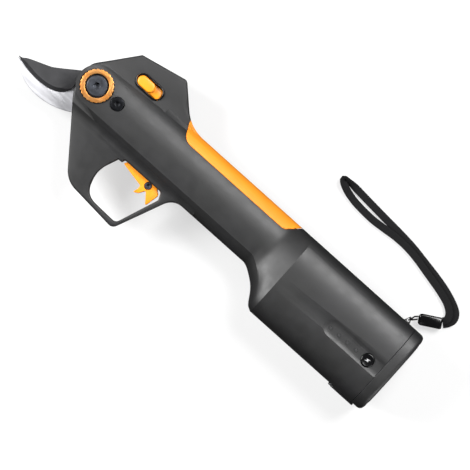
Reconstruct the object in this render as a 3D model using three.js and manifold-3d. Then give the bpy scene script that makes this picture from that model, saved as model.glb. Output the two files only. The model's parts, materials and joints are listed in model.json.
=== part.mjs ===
// Battery electric pruner, lying on its right side with the left side up.
// +X runs from the blades to the butt, +Y to the back of the grip, +Z out of the left side.
// The origin is below the middle of the tool, on the surface that it lies on. Millimetres.
import * as THREE from "three";
import { mergeVertices } from "three/addons/utils/BufferGeometryUtils.js";
import Module from "manifold-3d";

const wasm = await Module();
wasm.setup();

// ---- driving dimensions ----
const GAP = 0.3; // clearance between neighbouring pieces
const MID_Z = 23; // the plane where the two housing halves meet
const PIVOT = { x: -105.1, y: 10.1 };
const BOSS_R = 13.75; // round front end of the barrel
const GRIP_Y = [-11.2, 30.1]; // underside and back of the grip
const CREASE_Y = -3.8; // edge between the barrel's flank and its underside
const GRIP_HALF = 16; // half the barrel's thickness
const BATTERY_MID_Y = -1;
const BATTERY_HALF = [31, 23.37]; // half height and half thickness of the battery section
const BATTERY_FLAT = 23; // half thickness at the flats on its two sides
const BATTERY_POWER = 3.2; // superellipse exponent of the battery section
const FLARE_X = [38.6, 63]; // where the grip widens into the battery section
const SEAM_X = 149; // joint between the housing and the end cap
const BUTT_X = 157.5;
const WALL = 2.5;
const HOOK_Z = [13.9, 16.9]; // the fixed jaw, and the moving blade on top of it
const BLADE_Z = [17.2, 20.2];
const SECTOR_R = 21; // pitch radius of the blade's toothed sector
const TOOTH_H = 1.9;
const TOOTH_W = 1.15;
const SECTOR_TEETH = 42; // in a full turn
const PINION_TEETH = 8;
const PINION_R = (SECTOR_R * PINION_TEETH) / SECTOR_TEETH;
const BLADE_OPEN = 48; // degrees
const DRIVE = { y: PIVOT.y, z: BLADE_Z[1] + 1 + PINION_R };
const SHAFT_R = 2.4; // of the pinion
const MOTOR_R = 10.4;
const GEARBOX_X = [-70.6, -42.6];
const MOTOR_X = [-42.2, -4];
const TRIGGER_PIVOT = { x: -38.9, y: -15.7 };
const CELL = { r: 9.1, length: 65, pitchY: 19.4, z: [12, 31.4], x0: 68.5 };
const SLIDER = { x: -80, y: 32, travel: 5 };
const BUTTON = { x: 138.7, y: -5.1, r: 4.2 };
const GAUGE_X = [107.7, 114.8, 121.9, 129];
const GAUGE_Y = -5.3;
const GRIP_INSET = 4.6; // wall and ribs together, inside the grip
const PAD_THICKNESS = 2.4;
const BOLT = { shankR: 4, headR: 6.9, headZ: [38.2, 40.8], hexR: 2.3 };
const RING = { innerR: 7.75, outerR: 10.9, z: [37.7, 40.2], notches: 24, notchR: 0.9 };
const NUT = { r: 7.4, z: [5.4, 10.1] };
const LOCK_SCREW = { x: -87.9, headR: 4.35, z: [32, 39.8] };
const SCREW = { shankR: 1.5, headR: 2.8, sides: 12 }; // the small socket screws
const SCREW_TOP_Z = MID_Z + 5;
const SCREWS = [[-92, 38.5], [-62, 43.5], [-96, -16], [-76.5, -41], [-14, -6.2], [56.5, -19.5]];
const HOOK_SCREWS = [[-100.5, -8], [-92, -5.5]];
const CAP_SCREWS = [[22.5, 36.5], [22.5, 9.5], [-24.5, 36.5], [-24.5, 9.5]]; // [y, z]
const SLOT = { length: 20.8, width: 9.9, thumbLength: 12.8, thumbWidth: 7 }; // of the slider
const DISH = { x: 128, y: -4.8, length: 50, width: 11.6, floorZ: 45.2 }; // round the gauge lights
const FLAP = { x: [133.6, 151.2], y: [-33.4, -31.6], half: 6.8, pin: [132.2, -31.9] };
const SOCKET = { x: [136, 144.8], y: [-30.6, -25], half: 2.2 };
const ANCHOR = { base: [138.8, 145.8], eye: [142.3, 31.6] };
const TRIGGER_HALF = 5;
const MAGNET = [-54.5, -14.4];
const MAGNET_R = 1.3;

const FINISH = {
  shell: { color: 0x3c3c3d, roughness: 0.6, metalness: 0 },
  trim: { color: 0x18181a, roughness: 0.35, metalness: 0 },
  orange: { color: 0xf5a02a, roughness: 0.5, metalness: 0 },
  anodised: { color: 0xf0b878, roughness: 0.35, metalness: 0.9 },
  coated: { color: 0x2e2e32, roughness: 0.45, metalness: 0.6 },
  steel: { color: 0xc8c8cc, roughness: 0.3, metalness: 1 },
  blackSteel: { color: 0x242426, roughness: 0.4, metalness: 0.9 },
  brass: { color: 0xc8a050, roughness: 0.4, metalness: 1 },
  board: { color: 0x1f6b3a, roughness: 0.5, metalness: 0 },
  cell: { color: 0x3f7fc0, roughness: 0.4, metalness: 0.1 },
  clear: { color: 0xdfe6ea, roughness: 0.2, metalness: 0 },
  webbing: { color: 0x1c1c1e, roughness: 0.9, metalness: 0 },
};

const tool = new THREE.Group();

// ---- solids ----

// A closed geometry as a manifold-3d solid, with its faces turned outwards.
function solid(geometry) {
  geometry.deleteAttribute("normal");
  geometry.deleteAttribute("uv");
  const merged = mergeVertices(geometry, 1e-3);
  const triVerts = new Uint32Array(merged.index.array);
  const vertProperties = new Float32Array(merged.attributes.position.array);
  const made = new wasm.Manifold(new wasm.Mesh({ numProp: 3, vertProperties, triVerts }));
  if (made.volume() >= 0) return made;
  triVerts.reverse();
  return new wasm.Manifold(new wasm.Mesh({ numProp: 3, vertProperties, triVerts }));
}

const union = (...solids) => solids.reduce((a, b) => a.add(b));
const cut = (body, ...tools) => tools.reduce((a, b) => a.subtract(b), body);

// Adds one finished piece to the tool.
function piece(name, made, finish) {
  const { vertProperties, triVerts } = made.getMesh();
  const geometry = new THREE.BufferGeometry();
  geometry.setAttribute("position", new THREE.BufferAttribute(vertProperties, 3));
  geometry.setIndex(new THREE.BufferAttribute(triVerts, 1));
  const flat = geometry.toNonIndexed();
  flat.computeVertexNormals();
  const mesh = new THREE.Mesh(flat, new THREE.MeshStandardMaterial(FINISH[finish]));
  mesh.name = name;
  tool.add(mesh);
}

function box([x0, x1], [y0, y1], [z0, z1]) {
  const geometry = new THREE.BoxGeometry(x1 - x0, y1 - y0, z1 - z0);
  return solid(geometry.translate((x0 + x1) / 2, (y0 + y1) / 2, (z0 + z1) / 2));
}

// Turns a shape that stands along +Y so that it stands along another axis.
function stand(geometry, axis) {
  if (axis === "x") geometry.rotateZ(-Math.PI / 2);
  if (axis === "z") geometry.rotateX(Math.PI / 2);
  return geometry;
}

// A round bar from one place to another along an axis; at holds the other two coordinates.
function rod(axis, radius, [from, to], at, sides = 20) {
  const geometry = stand(new THREE.CylinderGeometry(radius, radius, to - from, sides), axis);
  const middle = (from + to) / 2;
  const [a, b] = at;
  if (axis === "x") geometry.translate(middle, a, b);
  if (axis === "y") geometry.translate(a, middle, b);
  if (axis === "z") geometry.translate(a, b, middle);
  return solid(geometry);
}

// A turned piece along Z: its profile is a list of [radius, z].
function turned(profile, [x, y], sides = 24) {
  const points = [...profile, profile[0]].map(([r, z]) => new THREE.Vector2(r, z));
  return solid(stand(new THREE.LatheGeometry(points, sides), "z").translate(x, y, 0));
}

const tube = (inner, outer, [z0, z1], at, sides) =>
  turned([[inner, z0], [outer, z0], [outer, z1], [inner, z1]], at, sides);

// An outline with straight sides and rounded corners: each corner is [x, y, radius].
function outline(corners) {
  const shape = new THREE.Shape();
  const count = corners.length;
  corners.forEach(([x, y, radius = 0], i) => {
    const here = new THREE.Vector2(x, y);
    const before = new THREE.Vector2(...corners[(i + count - 1) % count]).sub(here);
    const after = new THREE.Vector2(...corners[(i + 1) % count]).sub(here);
    const half = Math.acos(before.dot(after) / before.length() / after.length()) / 2;
    const most = 0.48 * Math.min(before.length(), after.length());
    const reach = Math.min(radius / Math.tan(half), most);
    const start = here.clone().add(before.setLength(reach));
    if (i === 0) shape.moveTo(start.x, start.y);
    else shape.lineTo(start.x, start.y);
    if (radius === 0) return;
    const end = here.clone().add(after.setLength(reach));
    shape.quadraticCurveTo(x, y, end.x, end.y);
  });
  return shape;
}

function plate(shape, [z0, z1], curveSegments = 5) {
  const made = Array.isArray(shape) ? outline(shape) : shape;
  const settings = { depth: z1 - z0, bevelEnabled: false, curveSegments };
  return solid(new THREE.ExtrudeGeometry(made, settings).translate(0, 0, z0));
}

// A plate outline that is a slot with round ends along X.
function slotShape(cx, cy, length, width) {
  const shape = new THREE.Shape();
  const straight = (length - width) / 2;
  shape.absarc(cx + straight, cy, width / 2, -Math.PI / 2, Math.PI / 2, false);
  shape.absarc(cx - straight, cy, width / 2, Math.PI / 2, (3 * Math.PI) / 2, false);
  return shape;
}

// A closed skin through rings of equally many points, from one end to the other.
function loft(rings) {
  const count = rings[0].length;
  const positions = rings.flat().flatMap((p) => p.toArray());
  const index = [];
  for (let r = 0; r + 1 < rings.length; r++)
    for (let i = 0; i < count; i++) {
      const a = r * count + i;
      const b = r * count + ((i + 1) % count);
      index.push(a, b, a + count, b, b + count, a + count);
    }
  const last = (rings.length - 1) * count;
  for (let i = 1; i + 1 < count; i++) {
    index.push(0, i + 1, i);
    index.push(last, last + i, last + i + 1);
  }
  const geometry = new THREE.BufferGeometry();
  geometry.setAttribute("position", new THREE.Float32BufferAttribute(positions, 3));
  geometry.setIndex(index);
  return solid(geometry);
}

// ---- the housing's outer shape ----

// Left half of the grip's section, from the underside to the back: [y, height above MID_Z].
const GRIP_SECTION = [
  [GRIP_Y[0], 0], [-11, 5], [-10, 8], [-7.2, 11.4], [CREASE_Y, 14.3],
  [0.4, 15.3], [5, 15.9], [10, GRIP_HALF], [15, 15.4], [19, 14.2],
  [22.5, 12.5], [26, 9.8], [28.6, 6.6], [29.8, 3.2], [GRIP_Y[1], 0],
];

// Stations along X: [x, how far towards the battery section in height, and in thickness].
const STATIONS = [
  [-122, 0, 0], [FLARE_X[0], 0, 0], [42.4, 0.06, 0.01], [46.9, 0.2, 0.06], [51.4, 0.37, 0.3],
  [54.6, 0.55, 0.5], [57.8, 0.79, 0.7], [60, 0.92, 0.83], [FLARE_X[1], 1, 1], [SEAM_X, 1, 1],
];

function batteryPoint(i) {
  const angle = -Math.PI / 2 + (i * Math.PI) / (GRIP_SECTION.length - 1);
  const power = (v) => Math.sign(v) * Math.abs(v) ** (2 / BATTERY_POWER);
  const y = BATTERY_MID_Y + BATTERY_HALF[0] * power(Math.sin(angle));
  const z = BATTERY_HALF[1] * power(Math.max(0, Math.cos(angle)));
  return [y, Math.min(z, BATTERY_FLAT)];
}

// One ring of the body at x; inset moves the whole section in by that many millimetres.
function bodyRing(x, towardsY, towardsZ, inset = 0) {
  const left = GRIP_SECTION.map(([y, z], i) => {
    const [batteryY, batteryZ] = batteryPoint(i);
    return [THREE.MathUtils.lerp(y, batteryY, towardsY), THREE.MathUtils.lerp(z, batteryZ, towardsZ)];
  });
  const [low, high] = [left[0][0], left[left.length - 1][0]];
  const middle = (low + high) / 2;
  const shrinkY = 1 - inset / (high - middle);
  const shrinkZ = 1 - inset / Math.max(...left.map(([, z]) => z));
  const inner = left.map(([y, z]) => [middle + (y - middle) * shrinkY, z * shrinkZ]);
  const right = inner.slice(1, -1).reverse().map(([y, z]) => [y, -z]);
  return [...inner, ...right].map(([y, z]) => new THREE.Vector3(x, y, MID_Z + z));
}

const UPPER_WING = [
  [-112, 4], [-119, 11], [-117, 19.3, 12], [-97.1, 44.2, 2], [-65.3, 51, 2.5],
  [-43.7, GRIP_Y[1], 29], [-20, GRIP_Y[1]], [-20, 4],
];
const LOWER_WING = [
  [-112, 6], [-116, 0], [-111.6, -6.6, 6], [-79.8, -47.8, 18], [-38.3, -51.2, 4.5],
  [-21.2, GRIP_Y[0], 12], [-5, GRIP_Y[0]], [-5, 6],
];
const GUARD_OPENING = [
  [-64.6, -15.7, 0.8], [-61.8, -15.7, 0.6], [-61, -12.3, 1.2], [-30.2, -12.3, 2], [-28, -18.2, 2],
  [-39, -47.2, 4.5], [-65, -46.2, 20], [-70.3, -30, 30],
];

// Half thickness of the wings at heights Y: the upper wing is level, then thins along the grip.
const WING_LEVEL = [[4, 11.5], [20, 10.6], [26, 9.5], [GRIP_Y[1], 9.4], [52, 8.8]];
const WING_TAIL = [[4, 11.5], [20, 10.6], [26, 8], [GRIP_Y[1], 1.5], [52, 1]];
const GUARD_FACE = [[-52, 5], [-36, 6.9], [-22, 7.2], [-10, 9], [6, 12]];
const UPPER_FACES = [[-125, WING_LEVEL], [-52, WING_LEVEL], [-31, WING_TAIL], [-19, WING_TAIL]];
const LOWER_FACES = [[-125, GUARD_FACE], [0, GUARD_FACE]];

const bodyLoft = () => loft(STATIONS.map((station) => bodyRing(...station)));

const THROUGH = [-5, 60]; // right through the tool along Z

const [FLANK_LOW, FLANK_HIGH] = [PIVOT.y - BOSS_R, PIVOT.y + BOSS_R];
const FLANK_MASK = [
  [PIVOT.x, FLANK_LOW], [-30, FLANK_LOW], [-30, 34], [-46, 34], [-66, 26.6], [PIVOT.x, FLANK_HIGH],
];

// The barrel keeps the section's full depth behind the wings, and a round front end.
function barrelMask() {
  const boss = rod("z", BOSS_R, THROUGH, [PIVOT.x, PIVOT.y], 40);
  const flank = plate(FLANK_MASK, THROUGH);
  const underside = plate([[-109, -1], [-88, -9], [-30, -9], [-30, 2], [-109, 2]], THROUGH);
  const rest = box([-46, 160], [-60, 60], THROUGH);
  return union(boss, flank, underside, rest);
}

// The space between a wing's two faces, through its stations along X.
function wingFaces(stations) {
  return loft(stations.map(([x, heights]) => [
    ...heights.map(([y, half]) => new THREE.Vector3(x, y, MID_Z + half)),
    ...heights.map(([y, half]) => new THREE.Vector3(x, y, MID_Z - half)).reverse(),
  ]));
}

function outerShape() {
  const thick = [MID_Z - 12, MID_Z + 12];
  const upper = plate(UPPER_WING, thick).intersect(wingFaces(UPPER_FACES));
  const lower = plate(LOWER_WING, thick).intersect(wingFaces(LOWER_FACES));
  const barrel = bodyLoft().intersect(barrelMask());
  return cut(union(barrel, upper, lower), plate(GUARD_OPENING, THROUGH));
}

// ---- what is cut out of the housing ----

// The space between the head's two cheeks, where the jaw and the blade's sector swing.
function jawSpace() {
  const z = [HOOK_Z[0] - GAP, BLADE_Z[1] + TOOTH_H + 0.4];
  return rod("z", SECTOR_R + 4, z, [PIVOT.x, PIVOT.y], 40);
}

function driveSpace() {
  const at = [DRIVE.y, DRIVE.z];
  return union(
    rod("x", PINION_R + 1.7, [PIVOT.x + SECTOR_R - 4, -80.2], at),
    rod("x", 6.9, [-81, -74.9], at),
    rod("x", 4, [-75, -71], at),
    rod("x", MOTOR_R + GAP, [-72.5, 4], at, 32),
  );
}

// The hollow from behind the motor to the end cap.
function bodySpace() {
  const gripStations = [[3, 0, 0], [FLARE_X[0], 0, 0], [56, 0.3, 0.1]];
  const grip = loft(gripStations.map((station) => bodyRing(...station, GRIP_INSET)));
  const flareStations = STATIONS.filter(([x]) => x >= 57);
  const flare = loft(flareStations.map((station) => bodyRing(...station, WALL + 1)));
  const front = box([55, 66], [-9, 21], [MID_Z - 11, MID_Z + 11]);
  const cells = loft([64.5, SEAM_X + 1].map((x) => bodyRing(x, 1, 1, WALL)));
  return union(grip, flare, front, cells);
}

function wingSpaces() {
  const upper = plate(
    [[-98, 29, 2], [-84, 42.8, 2], [-67, 46.4, 2], [-55, 36, 3], [-50, 27, 2], [-98, 27, 2]],
    [MID_Z - 7.5, MID_Z + 6],
  );
  const lower = plate(
    [[-102, -12, 2], [-83, -38, 3], [-73, -43, 2], [-72.5, -16, 4], [-74, -7, 2]],
    [MID_Z - 5, MID_Z + 5],
  );
  const posts = SCREWS.map(([x, y]) => rod("z", 4.4, THROUGH, [x, y], 16));
  return cut(union(upper, lower), ...posts);
}

// The recess that the trigger's arm swings up into, and the space either side of its lug.
function triggerSpace() {
  const { x, y } = TRIGGER_PIVOT;
  const recess = box([-61.6, -30.6], [-13, -8.2], [MID_Z - 5.6, MID_Z + 5.6]);
  const sensor = box([-59.2, -49.3], [-7, -4.2], [MID_Z - 4.4, MID_Z + 4.4]);
  const lug = union(
    rod("z", 3.3, [MID_Z - 1.7, MID_Z + 1.7], [x, y], 20),
    box([x - 2, x + 2], [y, -7], [MID_Z - 1.7, MID_Z + 1.7]),
  );
  return { recess: union(recess, sensor), lug };
}

// A screw's hole and its head's seat, both open at the right-hand face.
function screwHole(at, topZ, seatZ) {
  const { shankR, headR, sides } = SCREW;
  const shank = rod("z", shankR + GAP, [THROUGH[0], topZ], at, sides);
  return union(shank, rod("z", headR + GAP, [THROUGH[0], seatZ], at, sides));
}

// Height of the screw head's seat, a little inside the right-hand face.
function screwSeat(y) {
  if (y > 35) return MID_Z - 7.4;
  if (y < -35) return MID_Z - 4;
  return MID_Z - 6.6;
}

const padOutline = (gap) => [
  [-46 - gap, 31.5], [-40.6 - gap, 21.4 - gap, 9], [44 + gap, 21.4 - gap, 5],
  [53 + gap, 30.4], [53 + gap, 40], [-48 - gap, 40],
];
const PAD_X = [-50, 56];

// The band round the grip that the pad fills; gap widens it into the housing.
function padBand(gap) {
  const under = loft(PAD_X.map((x) => bodyRing(x, 0, 0, PAD_THICKNESS + gap)));
  return cut(plate(padOutline(gap), THROUGH), under);
}

const WINDOW = [[-94.6, 47], [-67.2, 53], [-66.6, 48.9, 0.5], [-95.1, 42.9, 0.5]];
const WINDOW_SEAT = [[-95, 48], [-66.8, 54], [-66.2, 48.6, 0.5], [-95.6, 42.5, 0.5]];
const WINDOW_HALF = 5.5;

// Seats and holes for the jaw's bolt, ring, nut and lock screw.
function pivotCuts() {
  const at = [PIVOT.x, PIVOT.y];
  const lockAt = [LOCK_SCREW.x, PIVOT.y];
  return [
    rod("z", RING.outerR + 0.4, [RING.z[0] - GAP, 60], at, 40),
    rod("z", BOLT.shankR + GAP, THROUGH, at, 24),
    rod("z", NUT.r + 1, [-5, NUT.z[1] + GAP], at, 24),
    rod("z", LOCK_SCREW.headR + 0.35, [37, 60], lockAt, 24),
    rod("z", 2.3, [31.5, 60], lockAt, 16),
  ];
}

// The slider's slot and the space that its floor slides in.
function sliderCuts() {
  const { x, y } = SLIDER;
  const mouth = slotShape(x, y, SLOT.length + 2 * GAP, SLOT.width + 2 * GAP);
  const way = box([x - 15, x + 15], [y - 4.2, y + 4.2], [MID_Z + 5.5, MID_Z + 8.5]);
  return [plate(mouth, [MID_Z + 8.2, MID_Z + 20], 8), way];
}

function batteryCuts() {
  const dish = slotShape(DISH.x, DISH.y, DISH.length, DISH.width);
  const [pinX, pinY] = FLAP.pin;
  return [
    plate(dish, [DISH.floorZ, 60], 6),
    ...GAUGE_X.map((x) => rod("z", 1.1, [40, 60], [x, GAUGE_Y], 12)),
    rod("z", BUTTON.r + GAP, [40, 60], [BUTTON.x, BUTTON.y], 24),
    box([SOCKET.x[0] - 0.5, SOCKET.x[1] + 0.5], [-40, -27], [MID_Z - 2.6, MID_Z + 2.6]),
    flapSeat([130.4, SEAM_X + 5]),
    rod("z", 1.6, [MID_Z - 9.3, MID_Z + 9.3], [pinX, pinY + 0.5], 12),
    box([ANCHOR.base[0] - 0.4, ANCHOR.base[1] + 0.4], [26.4, 28.6], [MID_Z - 4.3, MID_Z + 4.3]),
    box([139.5, 145.1], [26.4, 40], [MID_Z - 1.5, MID_Z + 1.5]),
  ];
}

const flapSeat = (x) => box(x, [-40, -31.1], [MID_Z - FLAP.half - 0.5, MID_Z + FLAP.half + 0.5]);

function surfaceCuts() {
  const windowZ = [MID_Z - WINDOW_HALF - GAP, MID_Z + WINDOW_HALF + GAP];
  return [
    ...pivotCuts(),
    ...sliderCuts(),
    ...batteryCuts(),
    plate(WINDOW_SEAT, windowZ),
    ...HOOK_SCREWS.map((at) => screwHole(at, HOOK_Z[1], 11.4)),
    ...SCREWS.map((at) => screwHole(at, SCREW_TOP_Z + 0.6, screwSeat(at[1]))),
  ];
}

function housing() {
  const { recess, lug } = triggerSpace();
  const hollow = cut(outerShape(), jawSpace(), driveSpace(), bodySpace(), wingSpaces(), recess);
  const withLug = union(hollow, lug);
  const trimmed = cut(withLug, padBand(GAP), ...surfaceCuts());
  const lugHole = rod("z", 1.6 + GAP, THROUGH, [TRIGGER_PIVOT.x, TRIGGER_PIVOT.y], 16);
  const shell = cut(trimmed, lugHole);
  const halfGap = GAP / 2;
  const wide = [[-200, 200], [-100, 100]];
  piece("left_housing", shell.intersect(box(...wide, [MID_Z + halfGap, 80])), "shell");
  piece("right_housing", shell.intersect(box(...wide, [-10, MID_Z - halfGap])), "shell");
}

// ---- trim on the housing ----

function gripPad() {
  const pad = outerShape().intersect(padBand(0)).intersect(box(PAD_X, [15, 45], THROUGH));
  piece("grip_pad", pad, "orange");
}

function statusWindow() {
  const strip = plate(WINDOW, [MID_Z - WINDOW_HALF, MID_Z + WINDOW_HALF]);
  piece("status_window", strip.intersect(plate(UPPER_WING, THROUGH)), "trim");
}

function powerSlider() {
  const { x, y, travel } = SLIDER;
  const bezel = plate(slotShape(x, y, SLOT.length, SLOT.width), [MID_Z + 8.5, MID_Z + 10.4], 8);
  const window = plate(slotShape(x, y, SLOT.length - 1.6, SLOT.width - 2.1), THROUGH, 8);
  piece("slider_bezel", cut(bezel, window), "trim");
  const floor = box([x - 9.5 - travel, x + 9.5], [y - 3.8, y + 3.8], [MID_Z + 6.3, MID_Z + 8.1]);
  const thumbShape = slotShape(x - 2.9, y, SLOT.thumbLength, SLOT.thumbWidth);
  const thumb = plate(thumbShape, [MID_Z + 7, MID_Z + 11.2], 8);
  piece("power_slider", union(floor, thumb), "orange");
  const body = box([x - 6, x + 6], [y - 3, y + 3], [MID_Z - 0.5, MID_Z + 4]);
  piece("power_switch", body, "trim");
}

// The cap's outside, with a rounded rim, and the spigot that centres it in the housing.
function capShell() {
  const rim = [[SEAM_X + GAP, 0], [154, 0.4], [156.6, 1.6], [BUTT_X, 4.5]];
  const outside = loft(rim.map(([x, inset]) => bodyRing(x, 1, 1, inset)));
  const ring = ([x0, x1], inset) => loft([x0, x1].map((x) => bodyRing(x, 1, 1, inset)));
  const inset = WALL + 2.3;
  const spigot = cut(ring([SEAM_X - 4, SEAM_X + 1], WALL + 0.5), ring([SEAM_X - 5, SEAM_X + 3], inset));
  return cut(union(outside, spigot), ring([SEAM_X, 153.5], inset));
}

function endCap() {
  const posts = CAP_SCREWS.map((at) => rod("x", 3.4, [SEAM_X + GAP, 154], at, 16));
  const holes = CAP_SCREWS.flatMap((at) => [
    rod("x", SCREW.shankR + GAP, [140, 160], at, SCREW.sides),
    rod("x", SCREW.headR + GAP, [154.6, 160], at, SCREW.sides),
  ]);
  const socket = box([140, SEAM_X + 0.5], [-32, -24], [MID_Z - 9, MID_Z + 9]);
  const anchor = box([137, 147], [25, 30], [MID_Z - 5, MID_Z + 5]);
  const withPosts = union(capShell(), ...posts);
  piece("end_cap", cut(withPosts, ...holes, flapSeat([140, 152.2]), socket, anchor), "shell");
}

// ---- fasteners ----

// A screw along Z with its socket head at headZ.
function screw(name, at, [headZ, tipZ], { shankR, headR, sides } = SCREW) {
  const seat = headZ + Math.sign(tipZ - headZ) * shankR;
  const profile = [
    [0, tipZ], [shankR, tipZ], [shankR, seat], [headR, seat], [headR, headZ], [0, headZ],
  ];
  const socket = rod("z", shankR * 0.8, [headZ - 1.2, headZ + 1.2], at, 6);
  piece(name, cut(turned(profile, at, sides), socket), "blackSteel");
}

function capScrew(name, at) {
  const shank = rod("x", SCREW.shankR, [147.4, 156], at, SCREW.sides);
  const head = rod("x", SCREW.headR, [155, 156.9], at, SCREW.sides);
  piece(name, cut(union(shank, head), rod("x", 1.2, [156, 158], at, 6)), "blackSteel");
}

function fasteners() {
  SCREWS.forEach((at, i) => {
    screw(`housing_screw_${i + 1}`, at, [screwSeat(at[1]) - 1.8, SCREW_TOP_Z]);
  });
  HOOK_SCREWS.forEach((at, i) => screw(`hook_screw_${i + 1}`, at, [9, HOOK_Z[1] - GAP]));
  CAP_SCREWS.forEach((at, i) => capScrew(`cap_screw_${i + 1}`, at));
}

// ---- jaw ----

function hookBlade() {
  const shape = new THREE.Shape();
  shape.moveTo(-157.4, -9.6);
  shape.bezierCurveTo(-150, -16.5, -141, -20.2, -132.3, -20.2);
  shape.bezierCurveTo(-123, -20.2, -115, -17.6, -107.4, -13.2);
  shape.lineTo(-103, -13.6);
  shape.lineTo(-91.5, -10);
  shape.lineTo(-88.2, -4);
  shape.lineTo(PIVOT.x + 12.5, PIVOT.y);
  shape.absarc(PIVOT.x, PIVOT.y, 12.5, 0, Math.PI, false);
  shape.lineTo(-117.8, 3);
  shape.bezierCurveTo(-118.5, -4, -124, -8.8, -134, -10);
  shape.bezierCurveTo(-143, -10.8, -151, -10, -157.4, -9.6);
  const holes = [rod("z", 4 + GAP, THROUGH, [PIVOT.x, PIVOT.y], 24)]
    .concat(HOOK_SCREWS.map((at) => rod("z", 1.5 + GAP, THROUGH, at, 12)));
  piece("hook_blade", cut(plate(shape, HOOK_Z, 10), ...holes), "steel");
}

// Angles of the toothed sector at rest, in degrees about the pivot.
const SECTOR = { from: -9, to: BLADE_OPEN + 9, outerR: SECTOR_R + 2.4, innerR: SECTOR_R - 2.2 };

function cuttingBlade() {
  const radians = THREE.MathUtils.degToRad;
  const sector = new THREE.Shape();
  sector.absarc(PIVOT.x, PIVOT.y, SECTOR.outerR, radians(SECTOR.from), radians(SECTOR.to), false);
  sector.lineTo(PIVOT.x, PIVOT.y);
  const edge = new THREE.Shape();
  edge.moveTo(-157.6, -8.6);
  edge.bezierCurveTo(-152, -11, -144, -12.6, -136.8, -12.6);
  edge.bezierCurveTo(-126, -12.4, -118, -9, -117.3, -1);
  edge.lineTo(-117.9, 3);
  edge.lineTo(-110, 3);
  edge.lineTo(-110, 16);
  edge.lineTo(-117.3, 13);
  edge.bezierCurveTo(-123, 9.4, -131, 3, -136, 0);
  edge.bezierCurveTo(-143, -3, -149, -4.8, -152.2, -6.7);
  edge.bezierCurveTo(-153.6, -7.8, -154, -8.6, -157.6, -8.6);
  const disc = rod("z", 12.4, BLADE_Z, [PIVOT.x, PIVOT.y], 40);
  const body = union(plate(edge, BLADE_Z, 10), disc, plate(sector, BLADE_Z, 16));
  const pitch = 360 / SECTOR_TEETH;
  const teeth = [];
  for (let angle = -pitch / 2; angle < SECTOR.to; angle += pitch) teeth.push(sectorTooth(angle));
  const bore = rod("z", 6.2 + GAP, THROUGH, [PIVOT.x, PIVOT.y], 24);
  piece("cutting_blade", cut(union(body, ...teeth), bore), "coated");
}

// One tooth of the blade's sector: a radial ridge, narrower at its top.
function sectorTooth(angle) {
  const length = SECTOR.outerR - SECTOR.innerR;
  const ridge = new THREE.CylinderGeometry(0.36, 0.64, TOOTH_H + 0.4, 4, 1);
  ridge.rotateY(Math.PI / 4).rotateX(Math.PI / 2);
  ridge.scale(length / 0.9, TOOTH_W / 0.9, 1);
  ridge.translate((SECTOR.innerR + SECTOR.outerR) / 2 - 0.1, 0, BLADE_Z[1] + TOOTH_H / 2 - 0.2);
  ridge.rotateZ(THREE.MathUtils.degToRad(angle)).translate(PIVOT.x, PIVOT.y, 0);
  return solid(ridge);
}

function pivotBolt(at) {
  const { shankR, headR, headZ: [low, high], hexR } = BOLT;
  const profile = [
    [0, 8.2], [shankR, 8.2], [shankR, low], [headR, low], [headR, high - 0.6],
    [headR - 0.5, high], [0, high],
  ];
  piece("pivot_bolt", cut(turned(profile, at, 32), rod("z", hexR, [low, high + 1], at, 6)), "blackSteel");
}

function adjustingRing(at) {
  const notches = [];
  for (let i = 0; i < RING.notches; i++) {
    const angle = (i * 2 * Math.PI) / RING.notches;
    const r = RING.outerR + 0.3;
    const notchAt = [PIVOT.x + r * Math.cos(angle), PIVOT.y + r * Math.sin(angle)];
    notches.push(rod("z", RING.notchR, THROUGH, notchAt, 4));
  }
  piece("adjusting_ring", cut(tube(RING.innerR, RING.outerR, RING.z, at, 48), ...notches), "anodised");
}

function pivotParts() {
  const at = [PIVOT.x, PIVOT.y];
  const bore = BOLT.shankR + GAP;
  pivotBolt(at);
  adjustingRing(at);
  piece("pivot_nut", cut(rod("z", NUT.r, NUT.z, at, 6), rod("z", bore, THROUGH, at, 24)), "blackSteel");
  piece("blade_bushing", tube(bore, 6.2, [BLADE_Z[0] + 0.1, BLADE_Z[1] - 0.1], at), "brass");
  const washerZ = [BLADE_Z[1] + GAP, BLADE_Z[1] + TOOTH_H + 0.1];
  piece("thrust_washer", tube(bore, 9, washerZ, at), "steel");
  const { x, headR, z } = LOCK_SCREW;
  screw("lock_screw", [x, PIVOT.y], [z[1], z[0]], { shankR: 2, headR, sides: 24 });
}

// ---- drive ----

function drive() {
  const at = [DRIVE.y, DRIVE.z];
  const x0 = PIVOT.x + SECTOR_R - 2.4;
  const gear = [rod("x", PINION_R - 1.1, [x0, x0 + 4.6], at, 16), rod("x", SHAFT_R, [x0, -66], at, 16)];
  for (let i = 0; i < PINION_TEETH; i++) {
    const tooth = new THREE.CylinderGeometry(0.3, 0.62, 2.2, 4, 1).rotateY(Math.PI / 4);
    tooth.scale(4.6 / 0.9, 1, TOOTH_W / 0.9).rotateX(Math.PI);
    tooth.translate(x0 + 2.3, -(PINION_R - 0.25), 0);
    tooth.rotateX((i * 2 * Math.PI) / PINION_TEETH + Math.PI / 2).translate(0, DRIVE.y, DRIVE.z);
    gear.push(solid(tooth));
  }
  piece("drive_pinion", union(...gear), "steel");
  const bearing = cut(rod("x", 6.5, [-80.4, -75.4], at), rod("x", SHAFT_R + GAP, [-90, -60], at));
  piece("pinion_bearing", bearing, "steel");
  const neck = rod("x", 3.6, [GEARBOX_X[0] - 2, GEARBOX_X[0] + 0.6], at, 20);
  const gearbox = union(rod("x", MOTOR_R, GEARBOX_X, at, 32), neck);
  piece("gearbox", cut(gearbox, rod("x", SHAFT_R + GAP, [-80, -65], at, 16)), "blackSteel");
  motor(at);
  controlBoard();
}

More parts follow.
